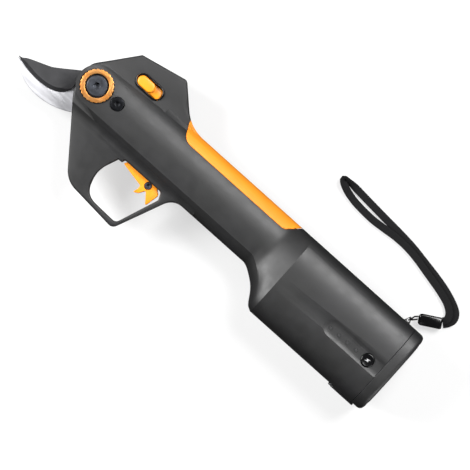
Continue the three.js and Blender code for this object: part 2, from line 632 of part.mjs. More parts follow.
function motor(at) {
  const [, backX] = MOTOR_X;
  const can = rod("x", MOTOR_R - 0.2, MOTOR_X, at, 32);
  const rearCap = rod("x", MOTOR_R - 1.4, [backX - 0.2, backX + 4.5], at, 24);
  const terminals = [-5, 5].map((dy) => {
    const y = DRIVE.y + dy;
    return box([backX + 4, backX + 8], [y - 1.2, y + 1.2], [DRIVE.z - 0.3, DRIVE.z + 0.3]);
  });
  piece("motor", union(can, rearCap, ...terminals), "steel");
}

function controlBoard() {
  const boardZ = [21, 22.6];
  const chips = [[10, 3], [17, 12], [27, 4], [38, 14]].map(([x, y]) =>
    box([x, x + 6], [y, y + 5], [boardZ[1] - 0.2, boardZ[1] + 2]));
  const capacitor = rod("z", 4, [boardZ[1] - 0.2, boardZ[1] + 9], [47, 6], 20);
  piece("control_board", union(box([7, 53], [-3, 22], boardZ), ...chips, capacitor), "board");
}

// ---- trigger ----

// A compression spring along +Y between two heights.
function coilSpring([x, z], [y0, y1], radius, wire, turns) {
  const points = [];
  const steps = turns * 8;
  for (let i = 0; i <= steps; i++) {
    const angle = (i / 8) * 2 * Math.PI;
    const y = THREE.MathUtils.lerp(y0 + wire, y1 - wire, i / steps);
    points.push(new THREE.Vector3(x + radius * Math.cos(angle), y, z + radius * Math.sin(angle)));
  }
  return tubeAlong(points, sectionShape(2 * wire, 2 * wire, 5), steps);
}

// A section with rounded sides, as an ellipse-like polygon: width along y, thickness along x.
function sectionShape(thickness, width, sides) {
  const shape = new THREE.Shape();
  for (let i = 0; i < sides; i++) {
    const angle = ((i + 0.5) / sides) * 2 * Math.PI;
    const power = thickness === width ? 1 : 0.4;
    const round = (v) => Math.sign(v) * Math.abs(v) ** power;
    const x = (round(Math.cos(angle)) * thickness) / 2;
    const y = (round(Math.sin(angle)) * width) / 2;
    if (i === 0) shape.moveTo(x, y);
    else shape.lineTo(x, y);
  }
  return shape;
}

function tubeAlong(points, section, steps) {
  const extrudePath = new THREE.CatmullRomCurve3(points, false, "centripetal");
  return solid(new THREE.ExtrudeGeometry(section, { extrudePath, steps }));
}

const TRIGGER = [
  [-60.3, -15.4, 0.8], [-58.7, -12.9, 1], [-33.8, -12.8, 2.6], [-29.9, -16, 2.4], [-32.1, -26.6, 0.9],
  [-34.6, -23.2, 2], [-37.9, -19, 1], [-40.6, -23.3, 2], [-44, -25.3, 0.7], [-42.7, -21.4, 1.5],
  [-42.9, -18.8, 1], [-52.3, -17, 5],
];

function triggerParts() {
  const { x, y } = TRIGGER_PIVOT;
  const slot = [MID_Z - 2.1, MID_Z + 2.1];
  const pocket = [MID_Z - 2, MID_Z + 2];
  const body = cut(
    plate(TRIGGER, [MID_Z - TRIGGER_HALF, MID_Z + TRIGGER_HALF]),
    rod("z", 4, slot, [x, y], 20),
    box([x - 3.6, x + 3.6], [y, -8], slot),
    rod("z", 1.6 + GAP, THROUGH, [x, y], 16),
    rod("z", 2.7, [MID_Z + 3.2, 40], [x, y], 20),
    rod("z", MAGNET_R + GAP, pocket, MAGNET, 12),
  );
  const [magnetX, magnetY] = MAGNET;
  const halfWay = MAGNET_R + GAP;
  const magnetWay = box([magnetX - halfWay, magnetX + halfWay], [magnetY, -11], pocket);
  piece("trigger", cut(body, magnetWay), "orange");
  piece("trigger_magnet", rod("z", MAGNET_R, [MID_Z - 1.6, MID_Z + 1.6], MAGNET, 12), "steel");
  screw("trigger_screw", [x, y], [MID_Z + 5, MID_Z - 4.6], { shankR: 1.6, headR: 2.35, sides: 16 });
  piece("trigger_spring", coilSpring([-47.5, MID_Z], [-12.4, -8.9], 1.5, 0.3, 3), "steel");
  piece("sensor_board", box([-58.5, -50], [-6.2, -5], [MID_Z - 4, MID_Z + 4]), "board");
}

// ---- battery section ----

function battery() {
  const { r, length, pitchY, z, x0 } = CELL;
  const centres = [-0.5, 0.5].flatMap((k) => z.map((height) => [BATTERY_MID_Y + k * pitchY, height]));
  centres.forEach(([y, height], i) => {
    const can = rod("x", r, [x0, x0 + length], [y, height], 20);
    const button = rod("x", 3, [x0 + length - 0.5, x0 + length + 1], [y, height], 12);
    piece(`battery_cell_${i + 1}`, union(can, button), "cell");
  });
  const holder = (from) => {
    const width = pitchY + 2 * r + 3;
    const y = [BATTERY_MID_Y - width / 2, BATTERY_MID_Y + width / 2];
    const frame = box([from, from + 5], y, [5.6, 39.4]);
    return cut(frame, ...centres.map((at) => rod("x", r + GAP, [from - 1, from + 6], at, 20)));
  };
  piece("cell_holder_front", holder(x0 + 6), "trim");
  piece("cell_holder_rear", holder(x0 + length - 14), "trim");
  piece("battery_board", box([135.6, 137.2], [-18, 18], [8, 38]), "board");
  piece("led_board", box([104, 143], [-9.5, -1.5], [41, 41.9]), "board");
  GAUGE_X.forEach((x, i) => {
    piece(`gauge_light_${i + 1}`, rod("z", 0.8, [42.2, 45.5], [x, GAUGE_Y], 12), "clear");
  });
  const cap = rod("z", BUTTON.r, [44, 46.1], [BUTTON.x, BUTTON.y], 24);
  const stem = rod("z", 1.5, [42.6, 44.2], [BUTTON.x, BUTTON.y], 12);
  piece("charge_button", union(cap, stem), "trim");
  chargeSocket();
}

// The port's metal shell, open towards the flap.
function chargeSocket() {
  const { x, y, half } = SOCKET;
  const wall = 0.6;
  const shell = box(x, y, [MID_Z - half, MID_Z + half]);
  const innerZ = [MID_Z - half + wall, MID_Z + half - wall];
  const inside = box([x[0] + wall, x[1] - wall], [y[0] - 0.4, y[1] - 1], innerZ);
  piece("charge_socket", cut(shell, inside), "steel");
}

function chargeFlap() {
  const { x, y, half, pin } = FLAP;
  const knuckleZ = [MID_Z - 4, MID_Z + 4];
  const leaf = box(x, y, [MID_Z - half, MID_Z + half]);
  const neck = box([131, x[0] + 0.4], [y[0] + 0.2, y[1] - 0.2], knuckleZ);
  const flap = union(leaf, neck, rod("z", 1.3, knuckleZ, pin, 12));
  piece("charge_flap", cut(flap, rod("z", 0.7, THROUGH, pin, 8)), "trim");
  piece("flap_pin", rod("z", 0.4, [MID_Z - 9, MID_Z + 9], pin, 8), "steel");
}

// ---- wrist strap ----

const FERRULE = { x: 154.4, y: 40.6, length: 15.4, width: 7.6, z: [0.1, 6.3], turn: 30 };
const CORD_R = 0.5;
const WEBBING = { width: 5, thickness: 1.1 };

// The thin loop: out of the ferrule, through the anchor's eye and back to the ferrule.
const CORD_ROUTE = [
  [147.2, 36, 3.6], [146.7, 35.4, 6], [145.4, 34.3, 12], [143.6, 32.6, 18], [142.5, 31.7, 21],
  [142.3, 31.6, 23], [142.4, 31.8, 25], [143, 33.4, 26.3], [143.5, 35.3, 24.8], [144, 36, 20.5],
  [145, 36.7, 14], [145.8, 37.2, 8], [146.4, 37.7, 3.6],
];

// The webbing: out of the ferrule, along the lower layer to the fold, and back on the upper layer.
const WEBBING_ROUTE = [
  [162, 44.6, 0.75], [164.4, 47.6, 0.75], [165.4, 51.6, 0.75], [163.2, 55.6, 0.75],
  [158, 58.7, 0.75], [149, 62, 0.75], [139, 64.4, 0.75], [127, 66.6, 0.75], [114, 68.8, 0.75],
  [101, 70, 0.75], [88, 70.8, 0.75], [75, 71.7, 0.75], [63, 72.6, 0.75], [55.5, 73, 0.8],
  [52, 72.7, 1.6], [51.4, 71.4, 3.1], [53, 70, 4.1], [57, 68.2, 3.3], [61, 66.9, 2.4], [69, 65.4, 2.1],
  [82, 64.7, 2.1], [92, 65.4, 2.1], [101, 66.3, 2.1], [111, 66.3, 2.1], [121, 65, 2.1],
  [133, 62.4, 2.1], [146, 59.4, 2.1], [155, 56.4, 2.1], [160.3, 52.6, 2.1], [162, 48.6, 2.2],
  [160.6, 46.2, 2.3],
];

const vectors = (route) => route.map((point) => new THREE.Vector3(...point));

function strap() {
  const ear = [[140, 30], [140, 27], [144.6, 27], [144.6, 30], [142.7, 34.1, 1], [141.9, 34.1, 1]];
  const base = box(ANCHOR.base, [26.8, 28.2], [MID_Z - 3.9, MID_Z + 3.9]);
  const anchor = union(base, plate(ear, [MID_Z - 1.1, MID_Z + 1.1]));
  piece("strap_anchor", cut(anchor, rod("z", 1.1, THROUGH, ANCHOR.eye, 12)), "trim");
  const { x, y, length, width, z, turn } = FERRULE;
  const [halfLength, halfWidth] = [length / 2, width / 2];
  const block = plate([
    [-halfLength, -halfWidth, 2.4], [halfLength, -halfWidth, 1.2],
    [halfLength, halfWidth, 1.2], [-halfLength, halfWidth, 2.4],
  ], z, 4);
  piece("strap_ferrule", block.rotate([0, 0, turn]).translate([x, y, 0]), "trim");
  const round = sectionShape(2 * CORD_R, 2 * CORD_R, 8);
  piece("strap_cord", tubeAlong(vectors(CORD_ROUTE), round, 40), "webbing");
  const ribbon = sectionShape(WEBBING.thickness, WEBBING.width, 8);
  piece("strap_webbing", tubeAlong(vectors(WEBBING_ROUTE), ribbon, 78), "webbing");
}

housing();
gripPad();
statusWindow();
powerSlider();
endCap();
fasteners();
hookBlade();
cuttingBlade();
pivotParts();
drive();
triggerParts();
battery();
chargeFlap();
strap();

export default tool;
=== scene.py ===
# %% [markdown]
# # A battery pruner on a white table
# The tool lies on its right side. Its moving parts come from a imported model, which is the fixed
# frame. Around that frame this lesson models the pieces that a person sees: the moulded shell, the
# orange grip, the jaw, the ring and bolt, the strap. Sizes are in millimetres and turned to metres.

# %% Load the frame
import json
import math

import bmesh
import bpy
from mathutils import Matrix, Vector

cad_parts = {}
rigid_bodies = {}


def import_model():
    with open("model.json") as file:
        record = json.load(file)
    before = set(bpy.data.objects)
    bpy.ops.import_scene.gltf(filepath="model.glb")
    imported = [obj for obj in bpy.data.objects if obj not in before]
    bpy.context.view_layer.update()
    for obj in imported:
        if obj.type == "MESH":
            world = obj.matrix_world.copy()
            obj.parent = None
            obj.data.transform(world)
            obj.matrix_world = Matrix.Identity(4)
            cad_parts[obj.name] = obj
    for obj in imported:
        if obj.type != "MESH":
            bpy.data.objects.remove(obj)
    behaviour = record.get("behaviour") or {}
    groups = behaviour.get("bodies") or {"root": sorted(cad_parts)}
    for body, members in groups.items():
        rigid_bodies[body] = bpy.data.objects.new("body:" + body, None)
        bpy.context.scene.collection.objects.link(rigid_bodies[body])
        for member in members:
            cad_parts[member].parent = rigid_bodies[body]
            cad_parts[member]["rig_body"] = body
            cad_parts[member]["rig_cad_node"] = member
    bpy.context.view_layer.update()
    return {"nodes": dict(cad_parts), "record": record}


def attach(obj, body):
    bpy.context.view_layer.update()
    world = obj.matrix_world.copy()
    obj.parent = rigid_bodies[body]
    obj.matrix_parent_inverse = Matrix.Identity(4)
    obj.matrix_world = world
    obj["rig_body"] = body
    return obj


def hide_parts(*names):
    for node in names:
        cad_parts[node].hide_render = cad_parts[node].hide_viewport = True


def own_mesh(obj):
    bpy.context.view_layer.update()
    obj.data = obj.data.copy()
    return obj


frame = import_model()
MM = 0.001

# %% [markdown]
# ## Camera
# The tool is seen from straight above, turned across the picture. A long lens keeps the sides
# parallel. The width that the lens sees, over the distance, is the sensor's width over its length.

# %% Camera
VIEW_WIDTH = 300.8  # mm across the picture, at the height of the tool's middle
LENS, SENSOR = 250.0, 36.0
MIDDLE = (23.3, -2.0, 23.0)

camera_data = bpy.data.cameras.new("overhead_camera")
camera_data.lens = LENS
camera_data.sensor_width = SENSOR
camera = bpy.data.objects.new("overhead_camera", camera_data)
bpy.context.scene.collection.objects.link(camera)
camera_height = VIEW_WIDTH * LENS / SENSOR + MIDDLE[2]
camera.location = (MIDDLE[0] * MM, MIDDLE[1] * MM, camera_height * MM)
camera.rotation_euler = (0, 0, math.radians(41.85))
bpy.context.scene.camera = camera
print("camera height:", round(camera_height), "mm")

# %% [markdown]
# ## Floor and light
# A product table is white and lit from below, so shadows on it stay pale: here the table glows, and
# does not light the tool. One soft lamp stands behind the grip, so that the round plastic catches a
# broad highlight on that side and its underside stays dark. A second one in front of the jaw lights
# the slope where the grip widens, and a faint low one keeps the butt from being black.

# %% Floor and light
bpy.ops.mesh.primitive_plane_add(size=12, location=(0, 0, -0.0004))
table = bpy.context.object
table.name = "table"
table.visible_diffuse = table.visible_glossy = False

world = bpy.data.worlds.new("white_room")
world.use_nodes = True
world.node_tree.nodes["Background"].inputs["Color"].default_value = (1, 1, 1, 1)
world.node_tree.nodes["Background"].inputs["Strength"].default_value = 0.015
bpy.context.scene.world = world
bpy.context.scene.view_settings.view_transform = "Standard"


def soft_lamp(name, place, aim, size, power):
    """A square lamp of that size, in metres, turned to face a point."""
    data = bpy.data.lights.new(name, "AREA")
    data.shape, data.size, data.energy = "SQUARE", size, power
    lamp = bpy.data.objects.new(name, data)
    bpy.context.scene.collection.objects.link(lamp)
    lamp.location = place
    lamp.rotation_euler = (Vector(aim) - Vector(place)).to_track_quat("-Z", "Y").to_euler()
    return lamp


soft_lamp("back_lamp", (0.2, 0.70, 0.94), (0.04, 0, 0), 0.6, 22)
soft_lamp("front_lamp", (-0.92, -0.30, 0.76), (0, 0, 0), 0.6, 28)
soft_lamp("butt_lamp", (1.0, -0.3, 0.25), (0, 0, 0), 0.6, 6)

# %% [markdown]
# ## Small tools for finishes
# Every finish is a Principled shader named after the real material. Its colour is an sRGB hex value,
# as a paint chart gives it, turned to linear by one function. Grain is a noise whose scale comes from
# the size of a real grain in millimetres.

# %% Finish tools


def linear(hex_colour):
    """sRGB hex, such as "f5a02a", as a linear colour."""
    values = [int(hex_colour[i : i + 2], 16) / 255 for i in (0, 2, 4)]
    curve = [v / 12.92 if v <= 0.04045 else ((v + 0.055) / 1.055) ** 2.4 for v in values]
    return (*curve, 1)


def add_node(finish, kind, inputs=None, **settings):
    """Adds a node, sets it, and fills its inputs with values or with other nodes' outputs."""
    node = finish.node_tree.nodes.new(kind)
    for name, value in settings.items():
        setattr(node, name, value)
    for name, value in (inputs or {}).items():
        if isinstance(value, bpy.types.NodeSocket):
            finish.node_tree.links.new(value, node.inputs[name])
        else:
            node.inputs[name].default_value = value
    return node


def new_finish(name, hex_colour, roughness, metallic=0.0, **shader):
    """A finish with one shader; shader holds its other sockets by name."""
    finish = bpy.data.materials.new(name)
    finish.use_nodes = True
    finish.node_tree.nodes.clear()
    inputs = {"Base Color": linear(hex_colour), "Roughness": roughness, "Metallic": metallic}
    surface = add_node(finish, "ShaderNodeBsdfPrincipled", {**inputs, **shader})
    add_node(finish, "ShaderNodeOutputMaterial", {"Surface": surface.outputs["BSDF"]})
    finish.diffuse_color = linear(hex_colour)
    return finish, surface


def noise(finish, size_mm, detail=2.0, stretch=(1, 1, 1)):
    """A noise whose spots are about size_mm wide, longer along an axis whose stretch is small."""
    place = add_node(finish, "ShaderNodeTexCoord").outputs["Object"]
    turned = add_node(finish, "ShaderNodeMapping", {"Vector": place, "Scale": stretch})
    inputs = {"Vector": turned.outputs["Vector"], "Scale": 1 / (size_mm * MM), "Detail": detail}
    return add_node(finish, "ShaderNodeTexNoise", inputs).outputs["Fac"]


def emboss(finish, surface, height, depth_mm, strength=1.0):
    """Raises the surface by a height from 0 to 1, over depth_mm."""
    inputs = {"Height": height, "Distance": depth_mm * MM, "Strength": strength}
    bump = add_node(finish, "ShaderNodeBump", inputs)
    finish.node_tree.links.new(bump.outputs["Normal"], surface.inputs["Normal"])


def vary(finish, surface, socket, driver, low, high):
    """Lets a noise move one of the shader's numbers between low and high."""
    inputs = {"Value": driver, "From Min": 0.35, "From Max": 0.65, "To Min": low, "To Max": high}
    spread = add_node(finish, "ShaderNodeMapRange", inputs)
    finish.node_tree.links.new(spread.outputs["Result"], surface.inputs[socket])


def two_tone(finish, surface, driver, hex_low, hex_high, edge=(0.35, 0.65)):
    """Mixes two colours by a driver from 0 to 1."""
    ramp = add_node(finish, "ShaderNodeValToRGB", {"Fac": driver})
    ramp.color_ramp.elements[0].position, ramp.color_ramp.elements[1].position = edge
    ramp.color_ramp.elements[0].color = linear(hex_low)
    ramp.color_ramp.elements[1].color = linear(hex_high)
    finish.node_tree.links.new(ramp.outputs["Color"], surface.inputs["Base Color"])


# %% [markdown]
# ## The finishes
# The shell is glass-filled nylon from a spark-eroded mould: almost black, and rough enough to spread
# a highlight over several centimetres. The grip is soft-touch rubber, the trigger and slider are the
# same orange in hard ABS, and the trim is polished black polycarbonate. A spark-eroded grain is about
# 0.1 mm, which would not show, so it is drawn at 0.5 mm.

# %% Plastics
table_glow = {"Emission Color": linear("ffffff"), "Emission Strength": 0.6}
table_white, _ = new_finish("backlit_opal_acrylic", "8c8c8c", 1.0, **table_glow)
table.data.materials.append(table_white)

nylon, surface = new_finish("glass_filled_nylon_eroded", "1a1a1b", 0.5)
two_tone(nylon, surface, noise(nylon, 30, 3), "181818", "1c1c1d")
vary(nylon, surface, "Roughness", noise(nylon, 6, 3), 0.47, 0.53)
emboss(nylon, surface, noise(nylon, 0.5, 3), 0.02, 0.35)

grip_rubber, surface = new_finish("soft_touch_rubber_orange", "dc8214", 0.6)
two_tone(grip_rubber, surface, noise(grip_rubber, 14, 2), "d98013", "df8617")
emboss(grip_rubber, surface, noise(grip_rubber, 0.7, 2), 0.03, 0.4)

orange_abs, surface = new_finish("moulded_abs_orange", "e58a17", 0.38)
two_tone(orange_abs, surface, noise(orange_abs, 9, 2), "e28716", "e98f1b")
emboss(orange_abs, surface, noise(orange_abs, 0.9, 2), 0.02, 0.3)

gloss_black, surface = new_finish("polished_black_polycarbonate", "0c0c0d", 0.16)
vary(gloss_black, surface, "Roughness", noise(gloss_black, 4, 3), 0.12, 0.2)
satin_black, surface = new_finish("satin_black_abs", "161617", 0.38)
emboss(satin_black, surface, noise(satin_black, 0.6, 2), 0.02, 0.3)
light_pipe, surface = new_finish("smoked_light_pipe", "3a3a3b", 0.3)
vary(light_pipe, surface, "Roughness", noise(light_pipe, 0.8, 2), 0.25, 0.38)
symbol_grey, surface = new_finish("pad_printed_grey_ink", "a9a9aa", 0.6)
emboss(symbol_grey, surface, noise(symbol_grey, 0.3, 2), 0.01, 0.3)

# %% [markdown]
# ## Metals
# The ring is turned aluminium, anodised orange: a coloured metal with fine rings left by the lathe.
# The blade is hardened steel under a dark low-friction coating, so it is shaded as a dark, slightly
# glossy paint. The hook is ground stainless steel: fine lines that run along it. A grinding line is
# some 0.05 mm wide and is drawn at 0.3 mm.

# %% Metals
anodised, surface = new_finish("anodised_aluminium_orange", "dc9650", 0.4, 1.0)
two_tone(anodised, surface, noise(anodised, 6, 2), "d48c46", "e0a160")
emboss(anodised, surface, noise(anodised, 0.4, 2), 0.02, 0.4)

coating, surface = new_finish("low_friction_blade_coating", "242426", 0.46)
two_tone(coating, surface, noise(coating, 8, 3), "212123", "29292b")
emboss(coating, surface, noise(coating, 0.5, 2, (0.12, 1, 1)), 0.02, 0.3)

ground_steel, surface = new_finish("ground_stainless_steel", "cdcdd1", 0.42, 0.75)
vary(ground_steel, surface, "Roughness", noise(ground_steel, 2.5, 3, (0.1, 1, 1)), 0.36, 0.48)
emboss(ground_steel, surface, noise(ground_steel, 0.3, 2, (0.05, 1, 1)), 0.01, 0.3)

zinc_steel, surface = new_finish("zinc_plated_steel", "b9bcc2", 0.35, 1.0)
vary(zinc_steel, surface, "Roughness", noise(zinc_steel, 1.5, 3), 0.28, 0.42)

black_oxide, surface = new_finish("black_oxide_steel", "3a3c42", 0.45, 0.8)
two_tone(black_oxide, surface, noise(black_oxide, 3, 3), "34363b", "44474e")
emboss(black_oxide, surface, noise(black_oxide, 0.4, 2), 0.01, 0.4)

dark_oxide, surface = new_finish("oiled_black_oxide_steel", "1d1e21", 0.3, 0.8)
two_tone(dark_oxide, surface, noise(dark_oxide, 2, 3), "18191b", "26272b")

turned_brass, surface = new_finish("turned_brass", "c9a45a", 0.3, 1.0)
vary(turned_brass, surface, "Roughness", noise(turned_brass, 1, 2), 0.24, 0.38)

# %% [markdown]
# ## Electronics and cells
# These sit inside the shell. The circuit board is green solder mask with copper tracks showing
# through as lighter lines, and the cells wear a shrunk blue sleeve.

# %% Inside finishes
solder_mask, surface = new_finish("green_solder_mask", "1c5a34", 0.35)
two_tone(solder_mask, surface, noise(solder_mask, 1.2, 0, (1, 0.15, 1)), "185030", "2f7a4b", (0.5, 0.56))
shrink_sleeve, surface = new_finish("pvc_shrink_sleeve_blue", "3470b4", 0.3)
emboss(shrink_sleeve, surface, noise(shrink_sleeve, 5, 2), 0.1, 0.25)

# %% [markdown]
# ## Woven finishes
# The wrist strap is polyester webbing woven in chevrons, and the thin cord is braided. Both patterns
# follow the strap, so they read its own map: metres along it and metres round it. A real rib is about
# 0.6 mm, and is drawn at 2 mm.

# %% Woven finishes


def wave(finish, value, pitch_mm):
    """A value in metres as a smooth wave from 0 to 1 that repeats every pitch_mm."""
    per_metre = 2 * math.pi / (pitch_mm * MM)
    turns = add_node(finish, "ShaderNodeMath", {0: value, 1: per_metre}, operation="MULTIPLY")
    sine = add_node(finish, "ShaderNodeMath", {0: turns.outputs[0]}, operation="SINE")
    half = {0: sine.outputs[0], 1: 0.5, 2: 0.5}
    return add_node(finish, "ShaderNodeMath", half, operation="MULTIPLY_ADD").outputs[0]


def woven_finish(name, rib_mm, thread_mm, hex_low, hex_high):
    """Chevron ribs over fine lengthwise threads; the colour is darker in the gaps as painted shade."""
    finish, surface = new_finish(name, hex_high, 0.8, **{"Specular IOR Level": 0.12})
    place = add_node(finish, "ShaderNodeTexCoord").outputs["UV"]
    axes = add_node(finish, "ShaderNodeSeparateXYZ", {0: place})
    side = add_node(finish, "ShaderNodeMath", {0: axes.outputs["Y"]}, operation="ABSOLUTE")
    both = {0: axes.outputs["X"], 1: side.outputs[0]}
    chevron = add_node(finish, "ShaderNodeMath", both, operation="ADD")
    ribs = wave(finish, chevron.outputs[0], rib_mm)
    threads = wave(finish, axes.outputs["Y"], thread_mm)
    height = add_node(finish, "ShaderNodeMath", {0: threads, 1: 0.4, 2: ribs}, operation="MULTIPLY_ADD")
    # The colour follows the weave's height: the low gaps get painted shade and the raised ribs a lighter
    # tone.
    two_tone(finish, surface, height.outputs[0], hex_low, hex_high, (0.1, 1.1))
    emboss(finish, surface, height.outputs[0], 0.3, 0.9)
    return finish


webbing_weave = woven_finish("polyester_webbing_chevron", 2.0, 1.2, "010101", "161617")
cord_braid = woven_finish("braided_polyester_cord", 0.9, 0.5, "060606", "1d1d1e")
print("finishes:", len(bpy.data.materials))

# %% [markdown]
# ## The strap and its cord
# The cords come first, because their room decides the scene. Each is a tube swept along a route: a
# smooth curve through the points where the strap lies. The webbing is 5 mm wide and 1.1 mm thick, and
# lies flat but for its far end, where it leans over to turn back. A ring of points is laid
# at the start and extruded from station to station.

# %% Routes
CORD_ROUTE = [
    (147.2, 36, 3.6), (146.7, 35.4, 6), (145.4, 34.3, 12), (143.6, 32.6, 18), (142.5, 31.7, 21),
    (142.3, 31.6, 23), (142.4, 31.8, 25), (143, 33.4, 26.3), (143.5, 35.3, 24.8), (144, 36, 20.5),
    (145, 36.7, 14), (145.8, 37.2, 8), (146.4, 37.7, 3.6),
]  # fmt: skip
WEBBING_ROUTE = [
    (162, 44.6, 0.75), (164.4, 47.6, 0.75), (165.4, 51.6, 0.75), (163.2, 55.6, 0.75),
    (158, 58.7, 0.75), (149, 62, 0.75), (139, 64.4, 0.75), (127, 66.6, 0.75), (114, 68.8, 0.75),
    (101, 70, 0.75), (88, 70.8, 0.75), (75, 71.7, 0.75), (63, 72.6, 0.75), (55.5, 73, 0.8),
    (52, 72.7, 1.6), (51.4, 71.4, 3.1), (53, 70, 4.1), (57, 68.2, 3.3), (61, 66.9, 2.4),
    (69, 65.4, 2.1), (82, 64.7, 2.1), (92, 65.4, 2.1), (101, 66.3, 2.1), (111, 66.3, 2.1),
    (121, 65, 2.1), (133, 62.4, 2.1), (146, 59.4, 2.1), (155, 56.4, 2.1), (160.3, 52.6, 2.1),
    (162, 48.6, 2.2), (160.6, 46.2, 2.3),
]  # fmt: skip


def on_curve(points, t):
    """A point on the smooth curve through points; t counts them from 0."""
    i = min(int(t), len(points) - 2)
    f = t - i
    here, there = points[i], points[i + 1]
    before = points[i - 1] if i > 0 else 2 * here - there
    after = points[i + 2] if i + 2 < len(points) else 2 * there - here
    return (
        here
        + (there - before) * (0.5 * f)
        + (2 * before - 5 * here + 4 * there - after) * (0.5 * f * f)
        + (3 * here - before - 3 * there + after) * (0.5 * f * f * f)
    )


def smooth_route(points, spacing):
    """The curve through points, in mm, cut into steps of about the same length."""
    points = [Vector(p) for p in points]
    fine = [on_curve(points, i / 40) for i in range(40 * (len(points) - 1) + 1)]
    route, walked = [fine[0]], 0.0
    for a, b in zip(fine, fine[1:]):
        walked += (b - a).length
        if walked >= spacing:
            route.append(b)
            walked = 0.0
    route[-1] = fine[-1]
    return route


def route_length(route):
    return sum((b - a).length for a, b in zip(route, route[1:]))


# %% Sweep tool


def deselect():
    """Leaves edit mode and selects nothing."""
    if bpy.context.object and bpy.context.object.mode != "OBJECT":
        bpy.ops.object.mode_set(mode="OBJECT")
    bpy.ops.object.select_all(action="DESELECT")


def work_on(piece):
    deselect()
    piece.select_set(True)
    bpy.context.view_layer.objects.active = piece


def skin(name, rings, closed=True):
    """A tube through rings of equally many points, in mm: one ring, extruded to each next place."""
    deselect()
    bpy.ops.mesh.primitive_circle_add(vertices=len(rings[0]), radius=MM, fill_type="NOTHING")
    piece = bpy.context.object
    piece.name = piece.data.name = name
    for vertex, point in zip(piece.data.vertices, rings[0]):
        vertex.co = Vector(point) * MM
    count = len(rings[0])
    bpy.ops.object.mode_set(mode="EDIT")
    bpy.ops.mesh.select_all(action="SELECT")
    for ring in rings[1:]:
        bpy.ops.mesh.extrude_region_move(TRANSFORM_OT_translate={"value": (MM, 0, 0)})
        shape = bmesh.from_edit_mesh(piece.data)
        shape.verts.index_update()
        fresh = sorted((v for v in shape.verts if v.select), key=lambda v: v.index)
        for vertex, point in zip(fresh, ring):
            vertex.co = Vector(point) * MM
        bmesh.update_edit_mesh(piece.data)
    if closed:
        bpy.ops.mesh.edge_face_add()
        bpy.ops.mesh.select_all(action="DESELECT")
        shape = bmesh.from_edit_mesh(piece.data)
        shape.verts.ensure_lookup_table()
        for vertex in shape.verts[:count]:
            vertex.select = True
        shape.select_flush(True)
        bpy.ops.mesh.edge_face_add()
    bpy.ops.mesh.select_all(action="SELECT")
    bpy.ops.mesh.normals_make_consistent(inside=False)
    bpy.ops.object.mode_set(mode="OBJECT")
    return piece


def rounded_section(width, thickness, count, power):
    """Points round a section that is wide across and thick upwards; a low power squares it."""
    points = []
    for i in range(count):
        angle = 2 * math.pi * (i + 0.5) / count
        across, up = math.cos(angle), math.sin(angle)
        points.append((
            math.copysign(abs(across) ** power, across) * width / 2,
            math.copysign(abs(up) ** power, up) * thickness / 2,
        ))
    return points


def sweep(name, route, section, roll):
    """A section swept along a route; roll gives its turn about the route, from 0 to 1 along it."""
    rings = []
    for i, point in enumerate(route):
        ahead = (route[min(i + 1, len(route) - 1)] - route[max(i - 1, 0)]).normalized()
        across = ahead.cross(Vector((0, 0, 1)))
        across = across.normalized() if across.length > 0.05 else Vector((0, 1, 0))
        up = across.cross(ahead).normalized()
        angle = roll(i / (len(route) - 1))
        side = across * math.cos(angle) + up * math.sin(angle)
        top = up * math.cos(angle) - across * math.sin(angle)
        rings.append([point + side * a + top * b for a, b in section])
    return skin(name, rings)


def map_along(piece, route, section):
    """Gives a swept piece its own map: metres along the route, and metres across it."""
    along = [0.0]
    for a, b in zip(route, route[1:]):
        along.append(along[-1] + (b - a).length * MM)
    layer = piece.data.uv_layers.new(name="along_and_across")
    count = len(section)
    for loop in piece.data.loops:
        ring, place = divmod(loop.vertex_index, count)
        layer.data[loop.index].uv = (along[ring], section[place][0] * MM)


def smooth(piece, angle=30):
    """Shades a piece smooth, but keeps edges sharper than angle."""
    work_on(piece)
    bpy.ops.object.shade_smooth_by_angle(angle=math.radians(angle))


# %% Webbing and cord
WEBBING_WIDTH, WEBBING_THICKNESS = 5.0, 1.1
CORD_THICKNESS = 1.0
FOLD = (0.505, 0.03)  # where along the webbing it turns back, and over what share of its length
FOLD_LEAN = math.radians(55)
TABLE_GAP = 0.1  # mm between the table and the lowest point of the webbing


def fold_roll(share):
    """The webbing leans over at the fold and lies flat elsewhere."""
    return FOLD_LEAN * math.exp(-(((share - FOLD[0]) / FOLD[1]) ** 2))


def lie_on_table(piece, section):
    """Lifts each ring of a swept piece that would dip into the table."""
    vertices, count = piece.data.vertices, len(section)
    for start in range(0, len(vertices), count):
        ring = vertices[start : start + count]
        lift = TABLE_GAP * MM - min(v.co.z for v in ring)
        for v in ring if lift > 0 else ():
            v.co.z += lift


webbing_route = smooth_route(WEBBING_ROUTE, 1.2)
webbing_section = rounded_section(WEBBING_WIDTH, WEBBING_THICKNESS, 20, 0.45)
webbing = sweep("strap_webbing_woven", webbing_route, webbing_section, fold_roll)
lie_on_table(webbing, webbing_section)
map_along(webbing, webbing_route, webbing_section)
smooth(webbing, 50)
webbing.data.materials.append(webbing_weave)

cord_route = smooth_route(CORD_ROUTE, 0.8)
cord_section = rounded_section(CORD_THICKNESS, CORD_THICKNESS, 12, 1)
cord = sweep("strap_cord_braided", cord_route, cord_section, lambda share: 0)
map_along(cord, cord_route, cord_section)
smooth(cord, 60)
cord.data.materials.append(cord_braid)
lengths = [round(route_length(route), 1) for route in (webbing_route, cord_route)]
print("webbing", lengths[0], "mm, cord", lengths[1], "mm")

# %% [markdown]
# ## Tools for solid pieces
# A plate is a filled ring laid on an outline and extruded. Bars and blocks are a cylinder and a cube at
# their size and place. Solids are then joined and cut with Boolean modifiers, as a pattern maker
# builds up a master and mills it. Rounded edges come from a Bevel modifier limited by angle.

# %% Solid tools


